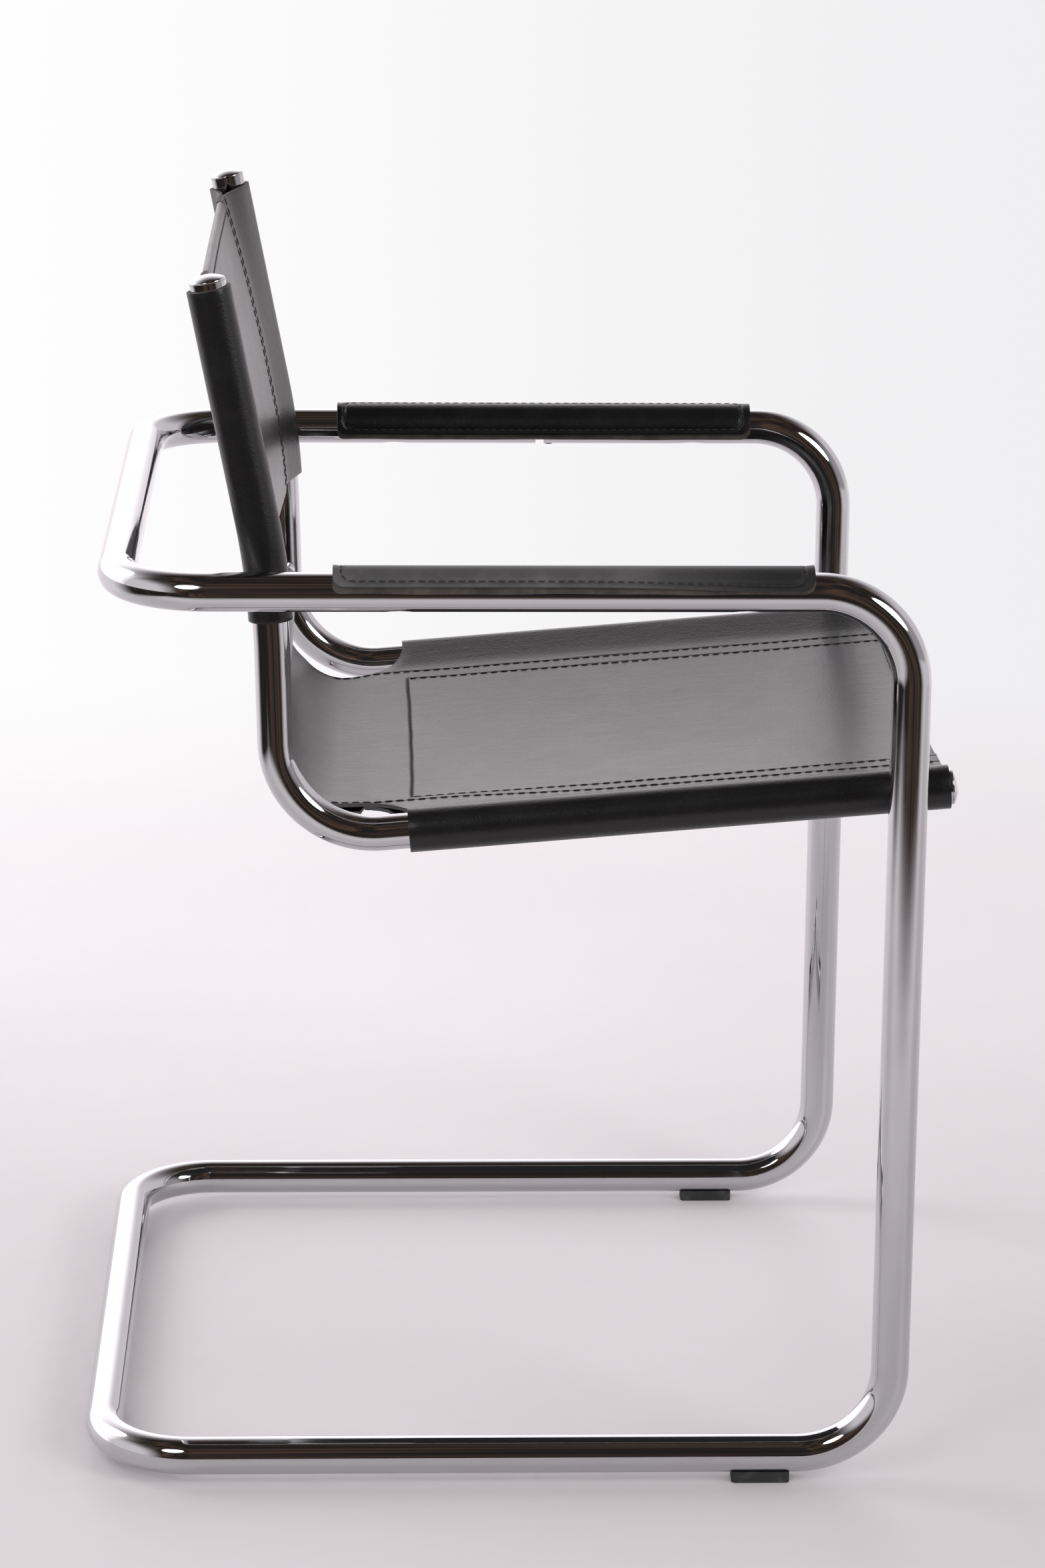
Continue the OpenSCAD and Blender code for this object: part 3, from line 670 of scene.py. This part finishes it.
def closeSheet(name, bm, flat, node):
    uv = bm.loops.layers.uv["leather"]
    seam = bm.verts.layers.float["seam"]
    for vert, (u, v, near) in flat.items():
        vert[seam] = near
    bmesh.ops.recalc_face_normals(bm, faces=bm.faces)
    area = 0.0
    for face in bm.faces:
        for corner in face.loops:
            corner[uv].uv = [way * mm for way in flat[corner.vert][:2]]
        first, *spots = (corner[uv].uv.to_3d() for corner in face.loops)
        area += sum((one - first).cross(two - first).length / 2
                    for one, two in zip(spots, spots[1:]))
    piece = finishPiece(name, bm, [slingHide, cutEdge], [node], 60)
    thicken(piece, sling["thick"], sling["rounding"], True)
    size = [(max(ways) - min(ways)) * mm for ways in list(zip(*flat.values()))[:2]]


def folded(station):
    return station["layer"] == "top" and abs(station["x"]) <= sling["foldX"] + 0.1


def hemStart(station):
    return sling["thick"] / 2 + sling["foldRadius"] if folded(station) else 0.0


# the folded hem of the panel's end, pulled on from the first row
def growHem(bm, flat, byPlace, trail):
    bend, hem = sling["foldRadius"], sling["hem"]
    centreV = sling["thick"] / 2 + bend
    turns = [36, 72, 108, 144, 180]
    straight = [centreV + 1.0, centreV + 3.0, 6.5, hem - 3.0, hem - 1.5, hem]
    edge = {column: byPlace[column, 0] for column, station in enumerate(slingColumns)
            if folded(station)}

    def placeRow(row, column):
        station = slingColumns[column]
        slant = trail.slant(station["x"])
        if row < len(turns):
            turn = math.radians(turns[row])
            v = centreV - bend * math.sin(turn)
            height = station["h"] - bend + bend * math.cos(turn)
            walked = -bend * turn
        else:
            v = straight[row - len(turns)]
            height = station["h"] - 2 * bend
            walked = -bend * math.pi - (v - centreV)
        return (onSheet(trail, station["x"], v + slant, height),
                (station["u"], centreV + walked + slant, farSeam))

    growSheet(bm, flat, edge, placeRow, len(turns) + len(straight))


# the seat: a level panel, then a tongue up an arc, over the bar and back under the seat

tongueTurn = math.radians(90 + rail["seatRise"])
tongueCentre = Vector(seatCut["arcCentre"])
notchEdge = seatCut["notchD"] + seatCut["notchR"]


def ring(turn):
    return Vector((math.cos(turn), math.sin(turn)))


def seatTrail():
    trail, deepV = Trail(seatCut), seatCut["deepV"]
    start = nosePoint - seatDir * seatCut["frontBare"] + seatUp * sling["panelUp"]
    run = (tongueCentre - seatUp * seatCut["arcTop"] - start).length
    front = seatCut["frontShare"]
    for step in range(41):
        v = run * step / 40
        share = front + (1 - front) * math.sin(math.pi / 2 * min(v / deepV, 1))
        share *= 1 - seatCut["rearLoss"] * max(0, (v - deepV) / (run - deepV)) ** 2
        trail.put(start - seatDir * v, seatUp, seatCut["sag"] * share)
    lastSag = trail.steps[-1][3]
    for step in range(1, 31):
        turn = tongueTurn * step / 30
        side = Matrix.Rotation(turn, 2) @ -seatUp
        trail.put(tongueCentre + side * seatCut["arcTop"], -side,
                  lastSag * (1 - math.sin(turn) ** 1.5 if turn < math.pi / 2 else 0))
    return trail


# where a line from a spot touches the leather's loop round the bar
def touchLoop(spot, side):
    away = spot - barPoint
    turn = math.atan2(away.y, away.x) + side * math.acos(seatCut["loopMid"] / away.length)
    return barPoint + seatCut["loopMid"] * ring(turn), turn


# from the tongue's split up to the bar, round it and down to the split again
def tonguePath():
    split, splitBack = (Vector((tongueCentre.x + seatCut[arc], seatCut["splitZ"]))
                        for arc in ("arcTop", "arcBack"))
    (front, frontTurn), (rear, rearTurn) = touchLoop(split, -1), touchLoop(splitBack, 1)
    sweep = (frontTurn - rearTurn) % (2 * math.pi)
    path = [split.lerp(front, share) for share in (0, 0.25, 0.5, 0.75)]
    path += [barPoint + seatCut["loopMid"] * ring(frontTurn - sweep * step / 16)
             for step in range(17)]
    path += [rear.lerp(splitBack, share) for share in (0.25, 0.5, 0.75, 1.0)]
    for easing in range(2):    # eases the two kinks above the split
        old, end = list(path), len(path) - 1
        for index in (1, 2, 3, end - 4, end - 3, end - 2, end - 1):
            path[index] = (old[index - 1] + old[index] * 2 + old[index + 1]) / 4
    return path


# the rim of a rear cut-out: its d at a distance from the cut-out's middle, and its v at a d
def notchRim(off):
    return seatCut["notchD"] + math.sqrt(max(seatCut["notchR"] ** 2 - off ** 2, 0))


def notchEnd(d):
    off = min(max(d - seatCut["notchD"], 0), seatCut["notchR"])
    return seatCut["notchV"] - math.sqrt(seatCut["notchR"] ** 2 - off ** 2)


def seatEnd(station):
    end = notchEnd(0 if station["layer"] == "round" else station["d"])
    return min(end, seatCut["flapV"]) if station["layer"] == "under" else end


# the d of the tongue's edge, where same is the v of the seat's own row beside it
def tongueEdge(same):
    if same < seatCut["flapV"] + 2:
        return seatCut["returnD"]
    return max(notchRim(same - seatCut["notchV"]), seatCut["edgeD"])


# rows of the tongue: the arc, the loop round the bar, the arc back and the run under the seat
def tongueRows(trail, arcEnd):
    rows, v = [], seatCut["notchV"]
    while v < arcEnd - 2:
        v = min(v + seatCut["tongueStep"], arcEnd)
        rows.append({"v": v, "same": v})
    rows += [{"v": step[0], "same": math.inf} for step in trail.steps if step[0] > arcEnd + 0.01]
    back, arcStart = seatCut["arcBack"], arcEnd - seatCut["arcTop"] * tongueTurn
    for step in range(31):
        turn = tongueTurn * (1 - step / 30)
        side = Matrix.Rotation(turn, 2) @ -seatUp
        rows.append({"point": tongueCentre + side * back, "up": -side,
                     "same": arcStart + seatCut["arcTop"] * turn,
                     "v": trail.length + back * (tongueTurn - turn)})
    backEnd = tongueCentre - seatUp * back
    length = (backEnd.x - seatCut["endY"]) / -seatDir.x
    for step in range(1, 15):
        run = length * step / 14
        rows.append({"point": backEnd + seatDir * run, "up": seatUp, "same": arcStart - run,
                     "v": trail.length + back * tongueTurn + run})
    return rows


def drawSeat():
    trail = seatTrail()
    arcEnd = trail.length
    for spot in tonguePath():
        away = spot - barPoint
        trail.put(spot, away if away.length < 10 else (-1, 0), 0)
    # closer rows beside the stitches across the tongue
    crossRows = [(seatRows["cross"] + off) / seatCut["notchV"]
                 for off in (-2.4, -1.2, 0, 1.2, 2.4)]
    rows = [0, 0.025, 0.05] + [0.05 + 0.9 * step / 70 for step in range(1, 71)] + [0.975, 1.0]
    rows = [row for row in rows if min(abs(row - cut) for cut in crossRows) > 0.0035]
    rows = sorted(rows + crossRows)
    bm, flat, byPlace = drawSheet(trail, hemStart, seatEnd, rows,
                                  (seatRows["outer"], seatRows["inner"]), seatRows["cross"])
    growHem(bm, flat, byPlace, trail)
    grown = tongueRows(trail, arcEnd)

    def placeRow(row, column):
        spec, station = grown[row], slingColumns[column]
        d, wide = station["d"], seatCut["spreadD"]
        if d < wide:
            edge = tongueEdge(spec["same"])
            d = edge + (d - notchEdge) * (wide - edge) / (wide - notchEdge)
        x = math.copysign(rail["halfWidth"] - d, station["x"])
        u = station["u"] + (d - station["d"]) * (1 if station["x"] < 0 else -1)
        if "point" in spec:
            sag = trail.at(spec["same"])[2]
            place = yz(spec["point"] - spec["up"] * sag * sagAcross(x, trail.bare), x)
        else:
            place = onSheet(trail, x, spec["v"], sling["panelUp"])
        return place, (u, spec["v"], farSeam)

    edge = {column: byPlace[column, len(rows) - 1] for column, station in enumerate(slingColumns)
            if station["layer"] == "top" and station["d"] > notchEdge - 0.01}
    growSheet(bm, flat, edge, placeRow, len(grown))
    closeSheet("seatSling", bm, flat, "seat_leather")
    return trail


# the back: down the straight, then along the slight bend
def drawBack():
    trail = Trail(backCut)
    start = topPoint - backDir * backCut["topBare"] + backUp * sling["panelUp"]
    turned = math.radians(rail["backLean"] - rail["lowerLean"])
    straight = rail["backLength"] - rail["backBend"] * math.tan(turned / 2) - backCut["topBare"]
    top = backCut["topShare"]
    for step in range(16):
        v = straight * step / 15
        trail.put(start - backDir * v, backUp, backCut["sag"] * (top + (1 - top) * v / straight))
    bend = rail["backBend"] + sling["panelUp"]
    centre = start - backDir * straight - backUp * bend
    for step in range(1, 17):
        side = Matrix.Rotation(turned * backCut["footShare"] * step / 16, 2) @ backUp
        trail.put(centre + side * bend, side, backCut["sag"])
    rows = [0, 0.02, 0.045] + [0.045 + 0.93 * step / 44 for step in range(1, 45)] + [0.99, 1.0]
    bm, flat, byPlace = drawSheet(
        trail, lambda station: hemStart(station) + trail.slant(station["x"]),
        lambda station: trail.length, rows, [backCut["rowEnd"]] * 2, backCut["hemRow"])
    growHem(bm, flat, byPlace, trail)
    closeSheet("backSling", bm, flat, "back_leather")
    return trail


seatLine = drawSeat()
backLine = drawBack()
print("slings drawn")


# one stitch is a short capsule that lies between two needle holes; each kind has its pitch
# and its thread's radius, and share is the part of the pitch that a stitch fills

stitch = {"sling": (7.3, 0.52), "cross": (4.3, 0.68), "armrest": (6.3, 0.52), "share": 0.86,
          "proud": 0.2, "restProud": 0.16, "start": 3.0, "rimIn": 3.0, "hemIn": 6.0}


def sewStitch(bm, start, end, up, radius):
    along = (end - start).normalized()
    side = along.cross(up).normalized()
    turn = Matrix((along, side, side.cross(along))).transposed().to_4x4()
    size = Matrix.Diagonal(((end - start).length / 2, radius, radius, 1))
    bmesh.ops.create_uvsphere(bm, u_segments=6, v_segments=4, radius=1.0,
                              matrix=Matrix.Translation((start + end) / 2) @ turn @ size)


# sews along a line; spot gives the point and the side that the thread shows on
def sewRow(bm, spot, length, face=1, kind="sling"):
    wanted, radius = stitch[kind]
    count = max(1, int(length / wanted))
    pitch = length / count
    reach = pitch * stitch["share"]
    row = bmesh.new()
    for index in range(count):
        first = (index + 0.5) * pitch - reach / 2
        start, up = spot(first)
        end, up = spot(first + reach)
        sewStitch(row, start, end, up * face, radius)
    sewn = newMesh("sewnRow", row, [])
    bm.from_mesh(sewn)
    bpy.data.meshes.remove(sewn)


def sideAway(x):
    return rail["halfWidth"] - abs(x)


# height is the leather's own; face is the side of it that the thread shows on
def faceSpot(trail, x, v, height, face):
    proud = face * (sling["thick"] / 2 + stitch["proud"])
    return onSheet(trail, x, v, height + proud), yz(trail.at(v)[1])


bothFaces = ((1, topHeight), (-1, lowHeight))


# a pair of rows beside the sleeves, from the hem backwards; their stitches stray inwards only
def sewAlong(bm, trail, row, first, last, faces=bothFaces, bend=lambda v: 0.0):
    for side, name in sides:
        for face, height in faces:
            sewRow(bm, lambda s: faceSpot(
                trail, side * (sideAway(row) - abs(wander(first + s) + bend(first + s))),
                first + s, height(row), face), last - first, face)


# a row from side to side; vOf gives its v
def sewAcross(bm, trail, reach, vOf, kind="sling"):
    for face, height in bothFaces:
        sewRow(bm, lambda s: faceSpot(trail, s - reach, vOf(s - reach),
                                      height(sideAway(s - reach)), face), 2 * reach, face, kind)


# the outer rows run on along the rim of the cut-outs
def pastNotch(v):
    return max(0.0, notchRim(v - seatCut["notchV"]) + stitch["rimIn"] - sling["rows"][0])


def crossV(x):
    return seatRows["cross"] + 0.5 * wander(sideAway(x))


def sewSeat():
    bm, (outer, inner) = bmesh.new(), sling["rows"]
    sewAlong(bm, seatLine, outer, stitch["start"], seatRows["runOut"], bothFaces[:1], pastNotch)
    sewAlong(bm, seatLine, outer, stitch["start"], seatRows["outer"], bothFaces[1:])
    sewAlong(bm, seatLine, inner, stitch["start"], seatRows["inner"])
    sewAcross(bm, seatLine, rail["halfWidth"] - inner, crossV, "cross")
    sewAcross(bm, seatLine, rail["halfWidth"] - inner - stitch["hemIn"], lambda x: seatRows["hem"])
    finishPiece("seatStitches", bm, [thread])


def sewBack():
    bm, (outer, inner) = bmesh.new(), sling["rows"]
    hemRow, end = backCut["hemRow"], backCut["rowEnd"]
    sewAlong(bm, backLine, outer, stitch["start"], end)
    sewAlong(bm, backLine, inner, hemRow + 1, end)
    sewAcross(bm, backLine, rail["halfWidth"] - inner, lambda x: hemRow + backLine.slant(x))
    finishPiece("backStitches", bm, [thread])


sewSeat()
sewBack()
print("slings stitched")


# armrests: a lining and a stitched outer leather, wrapped over each arm tube; each has its
# middle radius and its thickness, and turns are how far it reaches outwards and inwards

rest = {"middle": -34.0, "length": 307.0, "lining": (13.82, 2.0), "leather": (16.0, 2.1),
        "corners": {"lining": (7.0, 5.0), "leather": (8.0, 7.0)}, "cornerSteps": 7,
        "insetSide": 3.6, "insetFront": 6.8, "insetRear": 5.1, "rowCorner": 6.5,
        "groove": 0.28, "grooveHalf": 2.2, "edgeLift": 0.55, "liftReach": 5.5, "rim": 0.9,
        "rounding": 0.45, "twist": {-1: 10.0, 1: 2.0}, "grainShift": 200.0,
        "liningWaves": ((0.012, 23.0, 0.0), (0.01, 9.5, 1.0)),
        "turns": {-1: {"leather": (66.0, 55.0), "lining": (82.0, 73.0)},
                  1: {"leather": (20.0, 101.0), "lining": (38.0, 121.0)}}}


# one armrest's own sizes: half its flat width, and where the row of stitches runs
class Cover:
    def __init__(self, side, part):
        outward, inward = rest["turns"][side][part]
        self.side, self.part = side, part
        self.radius, self.thick = rest[part]
        self.half = math.radians(outward + inward) * self.radius / 2
        self.middle = math.radians(inward - outward) / 2
        self.long = rest["length"] / 2
        self.row = self.half - rest["insetSide"]
        self.front, self.rear = rest["insetFront"] - self.long, self.long - rest["insetRear"]

    # how far a spot of the flat leather is from the row of stitches
    def away(self, flatX, flatY):
        if self.part == "lining":
            return farSeam
        corner = rest["rowCorner"]
        across = abs(flatX) - self.row + corner
        along = abs(flatY - (self.front + self.rear) / 2) - (self.rear - self.front) / 2 + corner
        return abs(math.hypot(max(across, 0), max(along, 0)) + min(max(across, along), 0) - corner)

    # the flat spot laid on the tube; the turn grows inwards, towards the seat
    def lay(self, flatX, flatY, height=0.0):
        y, twist = flatY + rest["middle"], 0.0
        if self.part == "lining":
            flatX *= 1 + waves(y, rest["liningWaves"])
        else:
            twist = math.radians(rest["twist"][self.side]) * eased(-flatY / self.long)
            edge = min(self.half - abs(flatX), self.long - abs(flatY))
            ripple = 0.65 + 0.35 * math.sin(y / 17.0 + 1.7 * math.sin(y / 41.0) + self.side)
            height += rest["edgeLift"] * ripple * max(0.0, 1 - edge / rest["liftReach"]) ** 2
            sunk = 1 - self.away(flatX, flatY) / rest["grooveHalf"]
            height -= rest["groove"] * max(0.0, sunk)
        turn = flatX / self.radius + self.middle - twist
        up = Vector((-self.side * math.sin(turn), 0, math.cos(turn)))
        centre = Vector((self.side * loop["halfWidth"], y, loop["armZ"]))
        return centre + up * (self.radius + height), up


# adds close cuts beside the rows of stitches, in place of those that they crowd
def closerCuts(cuts, rows):
    near = [row + off for row in rows for off in (-2.2, -1.1, 0.0, 1.1, 2.2)]
    return [cut for cut in cuts if min(abs(cut - row) for row in near) > 0.7] + near


# a flat cut leather as a mesh, wrapped: flat x is the way round the tube, flat y its length
def wrapStrip(cover, finishes, node):
    half, long = cover.half, cover.long
    bm = bmesh.new()
    bmesh.ops.create_grid(bm, x_segments=1, y_segments=1, size=1.0)
    bmesh.ops.scale(bm, vec=(half, long, 1), verts=bm.verts)
    for end, offset in zip((-long, long), rest["corners"][cover.part]):
        tips = [vert for vert in bm.verts if abs(abs(vert.co.x) - half) < 1e-4
                and abs(vert.co.y - end) < 1e-4]
        bmesh.ops.bevel(bm, geom=tips, offset=offset, segments=rest["cornerSteps"],
                        profile=0.5, affect="VERTICES", material=-1)
    across = [half * index / 9 for index in range(-8, 9)]
    along = [-long + 2 * long * index / 40 for index in range(1, 40)]
    if cover.part == "leather":
        across = closerCuts(across, (-cover.row, cover.row))
        along = closerCuts(along, (cover.front, cover.rear))
    across += [rest["rim"] - half, half - rest["rim"]]
    for cuts, axis in ((across, Vector((1, 0, 0))), (along, Vector((0, 1, 0)))):
        for cut in cuts:
            bmesh.ops.bisect_plane(bm, geom=bm.verts[:] + bm.edges[:] + bm.faces[:], dist=1e-5,
                                   plane_co=axis * cut, plane_no=axis)
    uv = bm.loops.layers.uv.new("leather")
    seam = bm.verts.layers.float.new("seam")
    for vert in bm.verts:
        vert[seam] = cover.away(*vert.co.xy)
        for corner in vert.link_loops:
            corner[uv].uv = ((vert.co.x + cover.side * rest["grainShift"]) * mm, vert.co.y * mm)
    bmesh.ops.recalc_face_normals(bm, faces=bm.faces)
    for vert in bm.verts:
        vert.co = cover.lay(*vert.co.xy)[0]
    piece = finishPiece(pieceName(node), bm, finishes, [node], 60)
    thicken(piece, cover.thick, rest["rounding"])
    2 * half * mm
    rest["length"] * mm


# one row of stitches goes all the way round, with rounded corners
def sewRest(name, cover):
    rim, corner = Trail(), rest["rowCorner"]
    front, rear = cover.front + corner, cover.rear - corner
    for first, x, y in ((0, 1, rear), (90, -1, rear), (180, -1, front), (270, 1, front)):
        for step in range(7):
            bend = corner * ring(math.radians(first + 15 * step))
            rim.put((x * (cover.row - corner) + bend.x, y + bend.y), (0, 1), 0)
    rim.put(rim.steps[0][1], (0, 1), 0)
    bm = bmesh.new()
    height = cover.thick / 2 + stitch["restProud"]
    sewRow(bm, lambda s: cover.lay(*rim.at(min(s, rim.length))[0], height), rim.length,
           kind="armrest")
    finishPiece(name, bm, [thread])


for side, name in sides:
    liningNode, leatherNode = "armrest_lining_" + name, "armrest_leather_" + name
    leather = Cover(side, "leather")
    wrapStrip(Cover(side, "lining"), [suede, suede], liningNode)
    wrapStrip(leather, [restHides[side], cutEdge], leatherNode)
    sewRest("armrestStitches" + name.title(), leather)
print("armrests wrapped")


# domed caps in the four tube ends

cap = {"lip": 1.2, "dome": 3.4, "plug": 9.1, "depth": 14.0, "chamfer": 0.8, "rimRound": 0.3,
       "lipRound": 0.4, "lipStep": 0.12, "steps": 56,
       "domeShares": (1.0, 0.93, 0.82, 0.7, 0.56, 0.42, 0.28, 0.14)}


def drawCap(node, point, heading):
    radius, rise, plug = rail["radius"], cap["dome"], cap["plug"]
    ball = (radius ** 2 + rise ** 2) / (2 * rise)
    outline = [(0, -cap["depth"]), (plug - cap["chamfer"], -cap["depth"]),
               (plug, cap["chamfer"] - cap["depth"]), (plug, 0), (radius - cap["rimRound"], 0),
               (radius, cap["rimRound"]), (radius, cap["lip"] - cap["lipRound"])]
    for share in cap["domeShares"]:
        turn = math.asin(radius / ball) * share
        outline.append((ball * math.sin(turn) - (cap["lipStep"] if share == 1 else 0),
                        cap["lip"] + rise - ball + ball * math.cos(turn)))
    outline.append((0, cap["lip"] + rise))
    finishPiece(pieceName(node), lathe(outline, point, heading, cap["steps"]), [chrome],
                [node], 50)


for side, name in sides:
    x = side * rail["halfWidth"]
    drawCap("top_cap_" + name, yz(topPoint, x), yz(backDir))
    drawCap("seat_cap_" + name, yz(nosePoint, x), yz(seatDir))


# the small metal parts and the glides keep their CAD forms, with merged vertices; the spacers, the
# bolts and the glides also get rounded edges

fittings = {"arm_spacers": 0.3, "upright_spacers": 0.3, "arm_washers": 0, "upright_washers": 0,
            "arm_inserts": 0, "upright_inserts": 0, "arm_bolts": 0.3, "upright_bolts": 0.3,
            "armrest_screws": 0, "armrest_studs": 0, "glide_screws": 0,
            "frame_joint_sleeve": 0, "frame_joint_screw": 0}
glideEdge = 0.5


def roundedCopy(name, node, finish, width):
    bm = bmesh.new()
    bm.from_mesh(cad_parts[node].data)
    bmesh.ops.scale(bm, vec=(1 / mm, 1 / mm, 1 / mm), verts=bm.verts)
    bmesh.ops.remove_doubles(bm, verts=bm.verts, dist=0.002)
    piece = finishPiece(name, bm, [finish], [node], 30)
    if width:
        roundEdges(piece, width, 40).harden_normals = True


for node, width in fittings.items():
    roundedCopy(pieceName(node.replace("frame_joint", "seam")), node, steel, width)
for place in ("front", "rear"):
    for side, name in sides:
        node = f"{place}_glide_{name}"
        roundedCopy(pieceName(node), node, glideRubber, glideEdge)
print("fittings placed")


# studio: a pale floor that fades out, a bright wall behind the chair and a dim room before it

studio = {"floorRadius": 3.2, "fade": (1.05, 1.9), "rearFade": (0.95, 1.5),
          # the floor's low and high colours carry its painted shade and its painted light
          "floor": ((0.60, 0.56, 0.578, 1), (0.88, 0.83, 0.855, 1)),
          "shown": ((0.87, 0.86, 0.875, 1), (1.0, 1.0, 1.0, 1)),
          "room": ((0.024, 0.021, 0.020, 1), (0.11, 0.069, 0.050, 1)),
          "wall": ((0.85, 0.80, 0.83, 1), (1.75, 1.665, 1.715, 1)),
          "glow": ((1.18, 1.17, 1.18, 1), (0.25, 0.25, 0.25, 1)), "below": (1.05, 0.99, 1.03, 1)}
lamps = {"softLeft": {"at": (1.4, 2.6, 2.2), "aim": (0.2, 0, 0.2), "size": 1.8, "power": 32},
         "softRight": {"at": (-1.6, -2.4, 2.0), "aim": (0, 0, 0.3), "size": 1.4, "power": 30},
         "softCamera": {"at": (-2.1, 1.1, 2.1), "aim": (0, 0, 0.4), "size": 1.0, "power": 9}}
view = {"eye": (-3.18117, 0.09940, 1.31313), "ahead": (0.96150473, -0.03357958, -0.27272891),
        "right": (-0.03238382, -0.99943601, 0.00888589), "lens": 108.04, "sensor": 36.0,
        "farthest": 50.0}


def floorFinish():
    finish = Finish("studioFloor")
    x, y, z = finish.axes(finish.where)
    cloud = finish.noise(2.2, 3.0)
    speck = finish.noise(60.0, 2.0)
    # painted light and shade: the floor's colour is paler behind the chair and to its back, where
    # more light falls, and darker on the camera side close to the chair; the cloud adds random
    # tone
    light = (x.ramp(-0.4, 0.95) * 0.76 + (-x).ramp(0.45, 0.9) * 0.45 + y.ramp(-0.6, 0.6) * 0.16
             + cloud.ramp(0.3, 0.7) * 0.08)
    finish.surface(Base_Color=finish.blend(light, *studio["floor"]),
                   Roughness=0.42 + speck * 0.12, Specular_IOR_Level=0.35)
    # the pale floor fades out at its rim
    away = finish.made("ShaderNodeVectorMath", {"operation": "LENGTH"},
                       {0: finish.stretched((1, 0.6, 1))}, "Value")
    rim = away.ramp(*studio["fade"])
    return finish.surface(Alpha=1 - rim.most(y.ramp(*studio["rearFade"])))


def drawFloor():
    bm = bmesh.new()
    bmesh.ops.create_circle(bm, cap_ends=True, segments=96, radius=studio["floorRadius"])
    newObject("studioFloor", newMesh("studioFloor", bm, [floorFinish()]))


def hangLamp(name, lamp):
    light = bpy.data.lights.new(name, "AREA")
    light.shape = "ELLIPSE"
    light.size = light.size_y = lamp["size"]
    light.energy = lamp["power"]
    hung = newObject(name, light)
    hung.location = lamp["at"]
    aim = Vector(lamp["aim"]) - Vector(lamp["at"])
    hung.rotation_euler = aim.to_track_quat("-Z", "Y").to_euler()


# the room: a bright wall behind the chair and beside it, brown dusk above and before it
def paintWorld():
    world = bpy.data.worlds.new("studio")
    scene.world = world
    world.use_nodes = True
    sky = Graph(world.node_tree, "Generated")
    x, y, z = sky.axes(sky.where)
    rays = sky.add("ShaderNodeLightPath", {}, {})
    seen = Wire(sky, rays.outputs["Is Camera Ray"])
    diffused = Wire(sky, rays.outputs["Diffuse Depth"]).over(0.5)
    streak = sky.noise((5.0, 5.0, 1.2), 3.0, 0.6)
    dusk = sky.blend(streak.ramp(0.42, 0.72), *studio["room"])
    wall = sky.blend(y.ramp(-0.3, 0.0), *studio["wall"])
    beside = y.ramp(0.5, 0.82).most((-y).ramp(0.72, 0.95)) * 0.5
    share = x.ramp(-0.10, 0.25).most(beside) * (1 - z.ramp(0.42, 0.92))
    mirrored = sky.blend(share, dusk, wall)
    low = x.ramp(-0.1, 0.5).most((-y).ramp(0.72, 0.95) * 0.8)
    under = sky.blend(low, dusk, studio["below"])
    mirrored = sky.blend(z.ramp(-0.04, 0.02), under, mirrored)
    glow = sky.blend(z.ramp(0.5, 0.95), *studio["glow"])
    tone = sky.blend(diffused, mirrored, glow)
    shown = sky.blend(y.ramp(-0.16, 0.12), *studio["shown"])
    sky.plug(sky.tree.nodes["Background"].inputs["Color"], sky.blend(seen, tone, shown))


def setCamera():
    camera = bpy.data.cameras.new("photoView")
    camera.lens = view["lens"]
    camera.sensor_width = view["sensor"]
    camera.clip_end = view["farthest"]
    eye = newObject("photoView", camera)
    right, ahead = Vector(view["right"]), Vector(view["ahead"])
    turn = Matrix((right, right.cross(ahead), -ahead)).transposed().to_4x4()
    eye.matrix_world = Matrix.Translation(Vector(view["eye"])) @ turn
    scene.camera = eye


drawFloor()
paintWorld()
for name, lamp in lamps.items():
    hangLamp(name, lamp)
setCamera()
scene.view_settings.view_transform = "Standard"
print("studio set")
